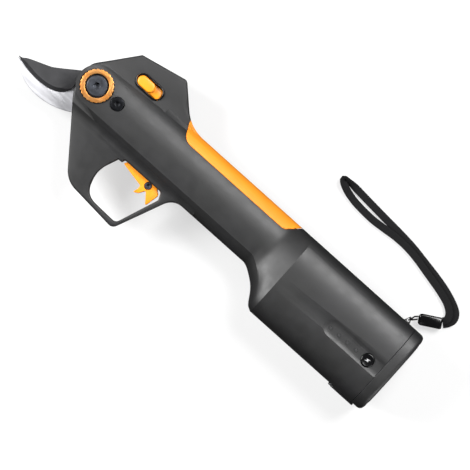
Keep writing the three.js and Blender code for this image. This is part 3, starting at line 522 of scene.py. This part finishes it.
def outline(corners, steps=8):
    """Points round an outline of corners (x, y, radius), in mm, each corner a smooth curve."""
    points = []
    for i, corner in enumerate(corners):
        here = Vector(corner[:2])
        radius = corner[2] if len(corner) > 2 else 0
        before = Vector(corners[i - 1][:2]) - here
        after = Vector(corners[(i + 1) % len(corners)][:2]) - here
        if radius == 0:
            points.append(here)
            continue
        most = 0.48 * min(before.length, after.length)
        reach = min(radius / math.tan(before.angle(after) / 2), most)
        start, end = here + before.normalized() * reach, here + after.normalized() * reach
        for k in range(steps + 1):
            f = k / steps
            points.append(start * (1 - f) ** 2 + here * (2 * f * (1 - f)) + end * f**2)
    return points


def slot_points(x, y, length, width, steps=16):
    """Points round a slot with round ends along X."""
    points = []
    for side, turn in ((1, -90), (-1, 90)):
        for k in range(steps + 1):
            angle = math.radians(turn + 180 * k / steps)
            centre = x + side * (length - width) / 2
            dx, dy = width / 2 * math.cos(angle), width / 2 * math.sin(angle)
            points.append(Vector((centre + dx, y + dy)))
    return points


def plate(name, points, low, high):
    """A flat solid on an outline, from one height to another."""
    deselect()
    bpy.ops.mesh.primitive_circle_add(vertices=len(points), radius=MM, fill_type="NGON")
    piece = bpy.context.object
    piece.name = piece.data.name = name
    for vertex, point in zip(piece.data.vertices, points):
        vertex.co = Vector((point[0], point[1], low)) * MM
    bpy.ops.object.mode_set(mode="EDIT")
    bpy.ops.mesh.select_all(action="SELECT")
    rise = {"value": (0, 0, (high - low) * MM)}
    bpy.ops.mesh.extrude_region_move(TRANSFORM_OT_translate=rise)
    bpy.ops.mesh.select_all(action="SELECT")
    bpy.ops.mesh.normals_make_consistent(inside=False)
    bpy.ops.object.mode_set(mode="OBJECT")
    return piece


def set_in_place(name):
    piece = bpy.context.object
    piece.name = piece.data.name = name
    bpy.ops.object.transform_apply(location=True, rotation=True, scale=True)
    return piece


def rod(name, axis, radius, span, at, sides=64):
    """A round bar along an axis, from span[0] to span[1]; at gives the other two places."""
    middle, (a, b) = (span[0] + span[1]) / 2, at
    place = {"x": (middle, a, b), "y": (a, middle, b), "z": (a, b, middle)}[axis]
    turn = {"x": (0, math.pi / 2, 0), "y": (math.pi / 2, 0, 0), "z": (0, 0, 0)}[axis]
    deselect()
    bpy.ops.mesh.primitive_cylinder_add(
        vertices=sides, radius=radius * MM, depth=(span[1] - span[0]) * MM,
        location=Vector(place) * MM, rotation=turn,
    )  # fmt: skip
    return set_in_place(name)


def block(name, x, y, z):
    """A box between two places on each axis."""
    middle = Vector((sum(x), sum(y), sum(z))) * (MM / 2)
    size = Vector((x[1] - x[0], y[1] - y[0], z[1] - z[0])) * MM
    deselect()
    bpy.ops.mesh.primitive_cube_add(size=1, location=middle, scale=size)
    return set_in_place(name)


def apply_modifier(piece, kind, **settings):
    work_on(piece)
    modifier = piece.modifiers.new(kind.lower(), kind)
    for name, value in settings.items():
        setattr(modifier, name, value)
    bpy.ops.object.modifier_apply(modifier=modifier.name)
    return piece


def join_in(piece, *others):
    return with_solids(piece, others, "UNION")


def cut_out(piece, *others):
    return with_solids(piece, others, "DIFFERENCE")


def keep_in(piece, *others):
    return with_solids(piece, others, "INTERSECT")


def with_solids(piece, others, operation):
    """Joins, cuts or trims a piece by other solids, which are used up."""
    for other in others:
        apply_modifier(piece, "BOOLEAN", operation=operation, solver="MANIFOLD", object=other)
        bpy.data.objects.remove(other)
        if not piece.data.vertices:
            raise ValueError(f"{piece.name} was cut away entirely")
    return piece


def copy_of(piece, name):
    made = piece.copy()
    made.data = piece.data.copy()
    made.name = made.data.name = name
    bpy.context.scene.collection.objects.link(made)
    return made


def round_edges(piece, width, segments=3, angle=30):
    """Rounds every edge sharper than angle; width is in mm."""
    return apply_modifier(
        piece, "BEVEL", width=width * MM, segments=segments, limit_method="ANGLE",
        angle_limit=math.radians(angle), use_clamp_overlap=False,
    )  # fmt: skip


def finish_piece(piece, body, finish, slot, *nodes, angle=30):
    """Last steps of a piece: its shading, finish, body, and the nodes that it stands for. The slot is
    not used.
    """
    if angle:
        smooth(piece, angle)
    piece.data.materials.clear()
    piece.data.materials.append(finish)
    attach(piece, body)
    if nodes:
        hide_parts(*nodes)
    return piece


# %% [markdown]
# ## The shell's section
# Across the grip the shell is a rounded block with one sharp crease low on its flank, below which the
# underside tucks in. Further back it widens into the battery section, a squared oval. Both sections
# have a point for each value of t, so that the flare between them is a blend, station by station.

# %% The shell's section
MID_Z = 23.0
GRIP = [
    (-11.2, 0), (-11, 5), (-10, 8), (-7.2, 11.4), (-3.8, 14.3), (0.4, 15.3), (5, 15.9), (10, 16),
    (15, 15.4), (19, 14.2), (22.5, 12.5), (26, 9.8), (28.6, 6.6), (29.8, 3.2), (30.1, 0),
]  # fmt: skip
CREASE = 4  # the crease is the section's fifth point
FLARE = [
    (34, 0, 0), (38.6, 0, 0), (42.4, 0.06, 0.01), (46.9, 0.2, 0.06), (51.4, 0.37, 0.3),
    (54.6, 0.55, 0.5), (57.8, 0.79, 0.7), (60, 0.92, 0.83), (63, 1, 1),
]  # fmt: skip
SEAM_X = 149.0
UNDERSIDE = [Vector(p) for p in GRIP[: CREASE + 1]]
FLANK = [Vector(p) for p in GRIP[CREASE:]]


def battery_point(t):
    """The battery section, from its underside at 0 to its back at 14."""
    angle = math.radians(-90 + t * 180 / 14)
    up, out = math.sin(angle), max(0.0, math.cos(angle))
    y = -1 + 31 * math.copysign(abs(up) ** (2 / 3.2), up)
    return Vector((y, 23.0 * out ** (2 / 3.4)))


def grip_point(t):
    return on_curve(UNDERSIDE, t) if t < CREASE else on_curve(FLANK, t - CREASE)


def ring_at(x, toward_y=0.0, toward_z=0.0, inset=0.0, fine=4):
    """The shell's ring at x; fine is how many points lie between two of the section's own."""
    half = []
    for k in range(14 * fine + 1):
        grip, battery = grip_point(k / fine), battery_point(k / fine)
        y = grip.x + (battery.x - grip.x) * toward_y
        half.append(Vector((y, max(0.0, grip.y + (battery.y - grip.y) * toward_z))))
    low, high = half[0].x, half[-1].x
    middle = (low + high) / 2
    narrow = 1 - inset / (high - middle)
    thin = 1 - inset / max(p.y for p in half)
    half = [Vector((middle + (p.x - middle) * narrow, p.y * thin)) for p in half]
    other = [Vector((p.x, -p.y)) for p in reversed(half[1:-1])]
    return [Vector((x, p.x, MID_Z + p.y)) for p in half + other]


def flare_stations(per_gap=4):
    """Rings from the grip to the battery section, eased in and ending in a crisp edge."""
    points = [Vector(p) for p in FLARE]
    count = (len(points) - 2) * per_gap
    return [on_curve(points, 1 + i / per_gap) for i in range(count + 1)]


# %% [markdown]
# ## The barrel and the wings
# The barrel is a skin through those rings, with a round front end under the ring and bolt. The two
# wings, one behind the barrel and one round the finger guard, are plates whose faces slope. Their rims
# are rounded while each is still a plain plate, because a bevel comes out cleanest there.

# %% Barrel and wings
PIVOT = (-105.1, 10.1)
BOSS_R = 13.75
ALL_Z = (-5, 60)

rings = [ring_at(-122)]
rings += [ring_at(s.x, s.y, s.z) for s in flare_stations()]
rings += [ring_at(SEAM_X, 1, 1)]
outer = skin("outer", rings)

FLANK_MASK = [(-105.1, -3.65), (-30, -3.65), (-30, 34), (-46, 34), (-66, 26.6), (-105.1, 23.85)]
mask = rod("boss", "z", BOSS_R, ALL_Z, PIVOT, 128)
join_in(
    mask,
    plate("flank", FLANK_MASK, *ALL_Z),
    plate("underside", [(-109, -1), (-88, -9), (-30, -9), (-30, 2), (-109, 2)], *ALL_Z),
    block("rest", (-46, 160), (-60, 60), ALL_Z),
)
keep_in(outer, mask)

UPPER_WING = [
    (-112, 4), (-119, 11), (-117, 19.3, 12), (-97.1, 44.2, 2), (-65.3, 51, 2.5),
    (-43.7, 30.1, 29), (-20, 30.1), (-20, 4),
]  # fmt: skip
LOWER_WING = [
    (-112, 6), (-116, 0), (-111.6, -6.6, 6), (-79.8, -47.8, 18), (-38.3, -51.2, 4.5),
    (-21.2, -11.2, 12), (-5, -11.2), (-5, 6),
]  # fmt: skip
GUARD_OPENING = [
    (-64.6, -15.7, 0.8), (-61.8, -15.7, 0.6), (-61, -13.3, 1.2), (-30.2, -13.3, 2),
    (-28, -18.2, 2), (-39, -47.2, 4.5), (-65, -46.2, 20), (-70.3, -30, 30),
]  # fmt: skip


def wing(name, corners, faces, opening, edge):
    """A plate with rounded rims; its two faces follow (y, half thickness) at each station of x."""
    made = plate(name, outline(corners, 14), MID_Z - 12, MID_Z + 12)
    rings = []
    for x, heights in faces:
        top = [Vector((x, y, MID_Z + half)) for y, half in heights]
        bottom = [Vector((x, y, MID_Z - half)) for y, half in reversed(heights)]
        rings.append(top + bottom)
    keep_in(made, skin("faces", rings))
    if opening:
        cut_out(made, plate("opening", outline(opening, 14), *ALL_Z))
    return round_edges(made, edge, 4, 40)


# Half thickness at heights y: the upper wing is level, then thins where it runs out on the grip.
WING_LEVEL = [(4, 11.5), (20, 10.5), (26, 9.3), (30.1, 9.15), (40, 9.3), (52, 9.8)]
WING_TAIL = [(4, 11.5), (20, 10.5), (26, 8), (30.1, 1.5), (40, 1.2), (52, 1)]
GUARD_FACE = [
    (-52, 5), (-36, 6.4), (-22, 7.1), (-15, 7.8), (-11.5, 8.6), (-9.2, 9.7), (-7.6, 11), (6, 12),
]  # fmt: skip
UPPER_FACES = [(-125, WING_LEVEL), (-62, WING_LEVEL), (-31, WING_TAIL), (-19, WING_TAIL)]
upper = wing("upper", UPPER_WING, UPPER_FACES, None, 1.3)
lower = wing("lower", LOWER_WING, [(-125, GUARD_FACE), (0, GUARD_FACE)], GUARD_OPENING, 1.3)
join_in(outer, upper, lower)
print("outer shape:", len(outer.data.polygons), "faces")

# %% [markdown]
# ## The grip pad
# The orange pad is soft rubber moulded over a sunk band along the back of the grip. It is cut from the
# same outer shape, so it is flush, and its rim is rounded where it meets the shell.

# %% Grip pad


def pad_outline(gap):
    corners = [
        (-46 - gap, 31.5), (-40.6 - gap, 21.4 - gap, 9), (44 + gap, 21.4 - gap, 5),
        (53 + gap, 30.4), (53 + gap, 40), (-48 - gap, 40),
    ]  # fmt: skip
    return outline(corners, 12)


def pad_band(gap):
    """The band round the grip that the pad fills; gap widens it into the shell."""
    band = plate("pad_band", pad_outline(gap), *ALL_Z)
    under = skin("under", [ring_at(x, 0, 0, 2.4 + gap) for x in (-60, 70)])
    return cut_out(band, under)


pad = copy_of(outer, "grip_pad_moulded")
keep_in(pad, pad_band(0.05), block("pad_reach", (-50, 56), (15, 45), ALL_Z))
round_edges(pad, 0.45, 3, 50)
finish_piece(pad, "housing", grip_rubber, "orange_grip", "grip_pad", angle=25)
print("grip pad:", len(pad.data.polygons), "faces")

# %% [markdown]
# ## Hollow and recesses
# The shell is hollow where the jaw, the drive and the cells sit. The visible recesses are milled from
# the outside: seats for the ring, bolt and lock screw, the slider's slot, the status strip's seat, the
# shallow dish with the gauge lights, the button's well, the charging port and the strap's eye.

# %% Hollow
THROUGH = (-5, 60)
cut_out(
    outer,
    rod("jaw_space", "z", 25, (13.6, 22.5), PIVOT, 96),
    rod("pinion_space", "x", 5.7, (-88.1, -80.2), (10.1, 25.2)),
    rod("bearing_space", "x", 6.9, (-81, -74.9), (10.1, 25.2)),
    rod("shaft_space", "x", 4, (-75, -71), (10.1, 25.2)),
    rod("motor_space", "x", 10.7, (-72.5, 4), (10.1, 25.2)),
    skin("grip_space", [
        ring_at(3, 0, 0, 4.6, 2), ring_at(38.6, 0, 0, 4.6, 2), ring_at(56, 0.3, 0.1, 4.6, 2),
    ]),
    block("front_space", (55, 66), (-9, 21), (MID_Z - 11, MID_Z + 11)),
    skin("cell_space", [ring_at(64.5, 1, 1, 2.5, 2), ring_at(SEAM_X + 1, 1, 1, 2.5, 2)]),
    block("trigger_recess", (-61.6, -30.6), (-13.8, -8.2), (MID_Z - 5.6, MID_Z + 5.6)),
    block("sensor_recess", (-59.2, -49.3), (-8.5, -4.2), (MID_Z - 4.4, MID_Z + 4.4)),
)
TRIGGER_PIVOT = (-38.9, -15.7)
join_in(
    outer,
    rod("lug", "z", 3.3, (MID_Z - 1.7, MID_Z + 1.7), TRIGGER_PIVOT),
    block("lug_neck", (-40.9, -36.9), (-15.7, -7), (MID_Z - 1.7, MID_Z + 1.7)),
)

# %% Recesses
SLIDER = (-80, 32)
BUTTON = (138.7, -5.1)
GAUGE_X, GAUGE_Y = (107.7, 114.8, 121.9, 129), -5.3
SCREWS = [(-92, 38.5), (-62, 43.5), (-96, -16), (-76.5, -41), (-14, -6.2), (56.5, -19.5)]
HOOK_SCREWS = [(-100.5, -8), (-92, -5.5)]
LOCK_SCREW = (-87.9, 10.1)


def screw_seat(y):
    """Height of a screw head's seat on the right-hand face."""
    return MID_Z - (7.4 if y > 35 else 4 if y < -35 else 6.6)


def dish(name, x, y, levels):
    """A slot whose sides slope: levels are (height, length, width)."""
    return skin(
        name, [[(p.x, p.y, z) for p in slot_points(x, y, long, wide)] for z, long, wide in levels]
    )


def funnel(name, radius, floor, lip, edge, at):
    """A round well with a chamfered mouth of width edge at height lip."""
    levels = [(radius, floor), (radius, lip - edge), (radius + edge, lip), (radius + edge, lip + 20)]
    turn = [2 * math.pi * k / 96 for k in range(96)]
    rings = [[(at[0] + r * math.cos(a), at[1] + r * math.sin(a), z) for a in turn] for r, z in levels]
    return skin(name, rings)


SLIDER_LEVELS = [(31.2, 21.4, 10.5), (32.6, 21.4, 10.5), (33.6, 22.6, 11.7), (43, 22.6, 11.7)]
GAUGE_LEVELS = [
    (45.15, 40, 4), (45.2, 45, 7.4), (45.45, 47.6, 9.6), (45.8, 49.4, 11.2), (46.05, 51, 12.8),
    (47, 54, 16),
]  # fmt: skip
WINDOW = [(-95, 48), (-66.8, 54), (-66.2, 48.6, 0.5), (-95.6, 42.5, 0.5)]
cut_out(
    outer,
    pad_band(0.25),
    dish("slider_slot", *SLIDER, SLIDER_LEVELS),
    block("slide_way", (-95, -65), (27.8, 36.2), (MID_Z + 5.5, MID_Z + 8.5)),
    funnel("ring_seat", 11.2, 37.4, 39.2, 0.5, PIVOT),
    rod("bolt_hole", "z", 4.3, THROUGH, PIVOT),
    rod("nut_seat", "z", 8.4, (-5, 10.4), PIVOT),
    funnel("lock_seat", 4.7, 37, 39.2, 0.4, LOCK_SCREW),
    rod("lock_hole", "z", 2.3, (31.5, 60), LOCK_SCREW),
    plate("window_seat", outline(WINDOW), MID_Z - 5.8, MID_Z + 5.8),
    dish("gauge_dish", 128, -4.8, GAUGE_LEVELS),
    funnel("button_well", 4.5, 40, 45.35, 0.3, BUTTON),
    block("port", (135.5, 145.3), (-40, -27), (MID_Z - 2.6, MID_Z + 2.6)),
    block("flap_seat", (130.4, 154), (-40, -31.1), (MID_Z - 7.3, MID_Z + 7.3)),
    rod("pin_seat", "z", 1.6, (MID_Z - 9.3, MID_Z + 9.3), (132.2, -31.4)),
    block("anchor_seat", (138.4, 146.2), (26.4, 28.6), (MID_Z - 4.3, MID_Z + 4.3)),
    block("anchor_neck", (139.5, 145.1), (26.4, 40), (MID_Z - 1.5, MID_Z + 1.5)),
    rod("trigger_screw_hole", "z", 1.9, THROUGH, TRIGGER_PIVOT),
    *[rod("light_hole", "z", 1.0, (40, 60), (x, GAUGE_Y), 32) for x in GAUGE_X],
    *[rod("hook_screw_hole", "z", 1.8, (-5, 16.9), at, 32) for at in HOOK_SCREWS],
    *[rod("hook_screw_seat", "z", 3.1, (-5, 11.4), at, 32) for at in HOOK_SCREWS],
    *[rod("screw_hole", "z", 1.8, (-5, MID_Z + 5.6), at, 32) for at in SCREWS],
    *[rod("screw_head_seat", "z", 3.1, (-5, screw_seat(at[1])), at, 32) for at in SCREWS],
)
print("shell:", len(outer.data.polygons), "faces")

# %% [markdown]
# ## The two halves
# The shell splits along its middle plane into a left and a right half, 0.3 mm apart.

# %% Split the shell
left_shell = copy_of(outer, "left_shell_moulded")
keep_in(left_shell, block("left_side", (-200, 200), (-100, 100), (MID_Z + 0.12, 80)))
finish_piece(left_shell, "housing", nylon, "shell_plastic", "left_housing", angle=19)
right_shell = outer
right_shell.name = right_shell.data.name = "right_shell_moulded"
keep_in(right_shell, block("right_side", (-200, 200), (-100, 100), (-10, MID_Z - 0.12)))
finish_piece(right_shell, "housing", nylon, "shell_plastic", "right_housing", angle=19)
print("halves:", len(left_shell.data.polygons), len(right_shell.data.polygons), "faces")

# %% [markdown]
# ## The end cap
# The butt is a separate cap with a softly rounded rim, held by four screws. It carries on the battery
# section's outline after a fine gap, and a spigot inside centres it.

# %% End cap
CAP_SCREWS = [(22.5, 36.5), (22.5, 9.5), (-24.5, 36.5), (-24.5, 9.5)]
cap_rim = [
    (149.25, 0.25), (149.5, 0), (154.6, 0), (155.7, 0.25), (156.5, 0.75), (157.1, 1.5), (157.5, 2.8),
]  # fmt: skip
cap = skin("end_cap_moulded", [ring_at(x, 1, 1, inset) for x, inset in cap_rim])
spigot = skin("spigot", [ring_at(x, 1, 1, 3) for x in (145, 150)])
join_in(cap, spigot)
cut_out(cap, skin("cap_space", [ring_at(x, 1, 1, 4.8, 2) for x in (144, 153.5)]))
join_in(cap, *[rod("post", "x", 3.4, (149.3, 154), at, 32) for at in CAP_SCREWS])
cut_out(
    cap,
    *[rod("cap_hole", "x", 1.8, (140, 160), at, 32) for at in CAP_SCREWS],
    *[rod("cap_seat", "x", 3.1, (154.6, 160), at, 32) for at in CAP_SCREWS],
    block("cap_flap_seat", (140, 152.2), (-40, -31.1), (MID_Z - 7.3, MID_Z + 7.3)),
    block("port_room", (140, 149.5), (-32, -24), (MID_Z - 9, MID_Z + 9)),
    block("anchor_room", (137, 147), (25, 30), (MID_Z - 5, MID_Z + 5)),
)
finish_piece(cap, "housing", nylon, "shell_plastic", "end_cap", angle=24)
print("end cap:", len(cap.data.polygons), "faces")

# %% [markdown]
# ## Small hard pieces
# The trigger, slider, ring, bolt, screws and trim have the right shape in the frame, but hard edges.
# For each, the node's mesh is copied and merged, flat areas are dissolved into whole faces, and the
# edges get the small radius of the moulded or turned original.

# %% Softened copies


def softened(node, name, width, segments=3, angle=32, flat=1.5):
    """A merged copy of a node with its sharp edges rounded by width, in mm."""
    made = copy_of(frame["nodes"][node], name)
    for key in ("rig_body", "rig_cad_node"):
        if key in made:
            del made[key]
    made.parent = None
    work_on(made)
    bpy.ops.object.mode_set(mode="EDIT")
    bpy.ops.mesh.select_all(action="SELECT")
    bpy.ops.mesh.remove_doubles(threshold=2e-6)
    bpy.ops.mesh.dissolve_limited(angle_limit=math.radians(flat))
    bpy.ops.object.mode_set(mode="OBJECT")
    return round_edges(made, width, segments, angle) if width else made


SOFTENED = [
    # node, piece, radius, body, finish, slot
    ("power_slider", "power_slider_moulded", 0.9, "slider", orange_abs, "orange_plastic"),
    ("slider_bezel", "slider_bezel_moulded", 0.3, "housing", gloss_black, "black_trim"),
    ("status_window", "status_window_moulded", 0.35, "housing", gloss_black, "black_trim"),
    ("charge_flap", "charge_flap_moulded", 0.4, "flap", satin_black, "black_trim"),
    ("strap_anchor", "strap_anchor_moulded", 0.25, "housing", satin_black, "black_trim"),
    ("strap_ferrule", "strap_ferrule_moulded", 1.1, "housing", gloss_black, "black_trim"),
    ("adjusting_ring", "adjusting_ring_turned", 0.22, "housing", anodised, "anodised_ring"),
    ("pivot_bolt", "pivot_bolt_turned", 0.2, "housing", black_oxide, "black_steel"),
    ("pivot_nut", "pivot_nut_turned", 0.3, "housing", dark_oxide, "black_steel"),
    ("lock_screw", "lock_screw_turned", 0.2, "housing", dark_oxide, "black_steel"),
    ("trigger_screw", "trigger_screw_turned", 0.15, "housing", black_oxide, "black_steel"),
]
for node, name, radius, body, finish, slot_name in SOFTENED:
    piece = softened(node, name, radius)
    finish_piece(piece, body, finish, slot_name, node, angle=35)
    print(name, len(piece.data.polygons), "faces")

# %% [markdown]
# ## The trigger's spring
# A short coil of steel wire stands between the shell and the trigger's arm, and shortens when the
# trigger is pulled. Here it is the frame's coil, held by the shell, with a mesh of its own.

# %% Trigger spring
spring = softened("trigger_spring", "trigger_spring_wound", 0)
finish_piece(spring, "housing", zinc_steel, "jaw_steel", "trigger_spring", angle=60)
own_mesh(spring)

# %% [markdown]
# ## The trigger
# A curved arm with two horns for the fingertip, moulded in orange ABS. Its outline is extruded and the
# rims are rounded first; then the slot for the shell's lug, the pivot hole and the magnet's pocket are
# cut, as the mould's slides would leave them.

# %% Trigger
TRIGGER = [
    (-60.3, -15.4, 0.8), (-58.7, -12.9, 1), (-33.8, -12.8, 2.6), (-29.9, -16, 2.4), (-32.1, -26.6, 0.9),
    (-34.6, -23.2, 2), (-37.9, -19, 1), (-40.6, -23.3, 2), (-44, -25.3, 0.7), (-42.7, -21.4, 1.5),
    (-42.9, -18.8, 1), (-52.3, -17, 5),
]  # fmt: skip
trigger = plate("trigger_moulded", outline(TRIGGER, 6), MID_Z - 5, MID_Z + 5)
round_edges(trigger, 0.45, 3, 50)
cut_out(
    trigger,
    rod("lug_slot", "z", 4, (MID_Z - 2.1, MID_Z + 2.1), TRIGGER_PIVOT),
    block("lug_way", (-42.5, -35.3), (-15.7, -8), (MID_Z - 2.1, MID_Z + 2.1)),
    rod("pivot_hole", "z", 1.9, THROUGH, TRIGGER_PIVOT, 32),
    rod("head_seat", "z", 2.7, (MID_Z + 3.2, 40), TRIGGER_PIVOT, 48),
    rod("magnet_pocket", "z", 1.6, (MID_Z - 2, MID_Z + 2), (-54.5, -14.4), 32),
    block("magnet_way", (-56.1, -52.9), (-14.4, -11), (MID_Z - 2, MID_Z + 2)),
)
finish_piece(trigger, "trigger", orange_abs, "orange_plastic", "trigger", angle=28)
print("trigger:", len(trigger.data.polygons), "faces")

# %% [markdown]
# ## The jaw
# The hook is a plain ground plate with eased edges. The blade is modelled afresh in front of its
# pivot: its outline is extruded, and the upper rim of the cutting edge is drawn back, which leaves the
# ground bevel of a real blade. Behind, it is joined to the frame's own disc and toothed sector.

# %% Jaw


def bezier(start, first, second, end, steps=24):
    """Points along a cubic curve, without its last one."""
    a, b, c, d = (Vector(p) for p in (start, first, second, end))
    points = []
    for k in range(steps):
        f = k / steps
        g = 1 - f
        points.append(a * g**3 + b * (3 * g * g * f) + c * (3 * g * f * f) + d * f**3)
    return points


cutting_edge = bezier((-157.6, -8.6), (-152, -11), (-144, -12.6), (-136.8, -12.6))
cutting_edge += bezier((-136.8, -12.6), (-126, -12.4), (-118, -9), (-117.3, -1))
heel = [Vector(p) for p in ((-117.3, -1), (-117.9, 3), (-110, 3), (-110, 16), (-117.3, 13))]
spine = bezier((-117.3, 13), (-123, 9.4), (-131, 3), (-136, 0))
spine += bezier((-136, 0), (-143, -3), (-149, -4.8), (-152.2, -6.7))
spine += bezier((-152.2, -6.7), (-153.6, -7.8), (-154, -8.6), (-157.6, -8.6), 8)
blade_points = cutting_edge + heel + spine[1:]
blade_tip = plate("blade_front", blade_points, 17.2, 20.2)

GROUND_WIDTH = 2.6  # mm, the bevel that the whetstone leaves
count = len(blade_points)
for i in range(1, len(cutting_edge)):
    ahead = (blade_points[i + 1] - blade_points[i - 1]).normalized()
    inward = Vector((-ahead.y, ahead.x))
    ease = min(1.0, i / 10, (len(cutting_edge) - i) / 8)
    for vertex in blade_tip.data.vertices:
        near = (Vector(vertex.co[:2]) / MM - blade_points[i]).length < 1e-3
        if near and vertex.co.z > 19 * MM:
            vertex.co.x += inward.x * GROUND_WIDTH * ease * MM
            vertex.co.y += inward.y * GROUND_WIDTH * ease * MM
            break

blade = softened("cutting_blade", "cutting_blade_ground", 0)
cut_out(blade, block("front_room", (-170, -112), (-40, 40), (0, 40)))
join_in(blade, blade_tip)
round_edges(blade, 0.12, 2, 50)
finish_piece(blade, "blade", coating, "coated_blade", "cutting_blade", angle=25)

hook = softened("hook_blade", "hook_blade_ground", 0.35, 3)
finish_piece(hook, "housing", ground_steel, "jaw_steel", "hook_blade", angle=30)
print("blade:", len(blade.data.polygons), "faces, hook:", len(hook.data.polygons), "faces")

# %% [markdown]
# ## The charge button
# A polished black button with a shallow hollow for the fingertip, which rises to a rounded rim. A plain
# lightning mark, the common sign for charge, is printed in the hollow.

# %% Charge button
BUTTON_PROFILE = [
    (1.5, 42.6), (1.5, 44), (4.2, 44), (4.2, 45.7), (4.05, 45.95), (3.8, 46.05), (3.5, 45.98),
    (2.4, 45.8), (1.0, 45.7),
]  # fmt: skip
turn = [2 * math.pi * k / 72 for k in range(72)]
button_rings = [
    [(BUTTON[0] + r * math.cos(a), BUTTON[1] + r * math.sin(a), z) for a in turn]
    for r, z in BUTTON_PROFILE
]
button = skin("charge_button_moulded", button_rings)
finish_piece(button, "button", gloss_black, "black_trim", "charge_button", angle=40)
BOLT_MARK = [(0.5, 1.9), (-1.25, -0.35), (-0.15, -0.35), (-0.5, -1.9), (1.25, 0.35), (0.15, 0.35)]
lean = math.radians(-42)
mark_points = [
    (
        BUTTON[0] + x * math.cos(lean) - y * math.sin(lean),
        BUTTON[1] + x * math.sin(lean) + y * math.cos(lean),
    )
    for x, y in BOLT_MARK
]
mark = plate("charge_button_mark", mark_points, 45.6, 45.86)
finish_piece(mark, "button", symbol_grey, "black_trim", angle=30)

# %% [markdown]
# ## Every other piece
# The screws, boards, cells, motor and gears stay as the frame has them. Each gets its real finish.

# %% Finishes for the frame's own pieces
SLOT_FINISH = {
    "shell_plastic": nylon, "orange_grip": grip_rubber, "orange_plastic": orange_abs,
    "black_trim": satin_black, "anodised_ring": anodised, "coated_blade": coating,
    "jaw_steel": zinc_steel, "black_steel": dark_oxide, "bush_brass": turned_brass,
    "circuit_board": solder_mask, "cell_sleeve": shrink_sleeve, "light_pipe": light_pipe,
    "strap_webbing_weave": webbing_weave, "strap_cord_braid": cord_braid,
}  # fmt: skip
slots = {part["node"]: part["material_slot"] for part in frame["record"]["subparts"]}
for node, piece in frame["nodes"].items():
    piece.data.materials.clear()
    piece.data.materials.append(SLOT_FINISH[slots[node]])
print("frame pieces with a finish:", len(frame["nodes"]))

# %% Cords
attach(webbing, "housing")
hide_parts("strap_webbing")
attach(cord, "housing")
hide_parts("strap_cord")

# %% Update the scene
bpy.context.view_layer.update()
deselect()
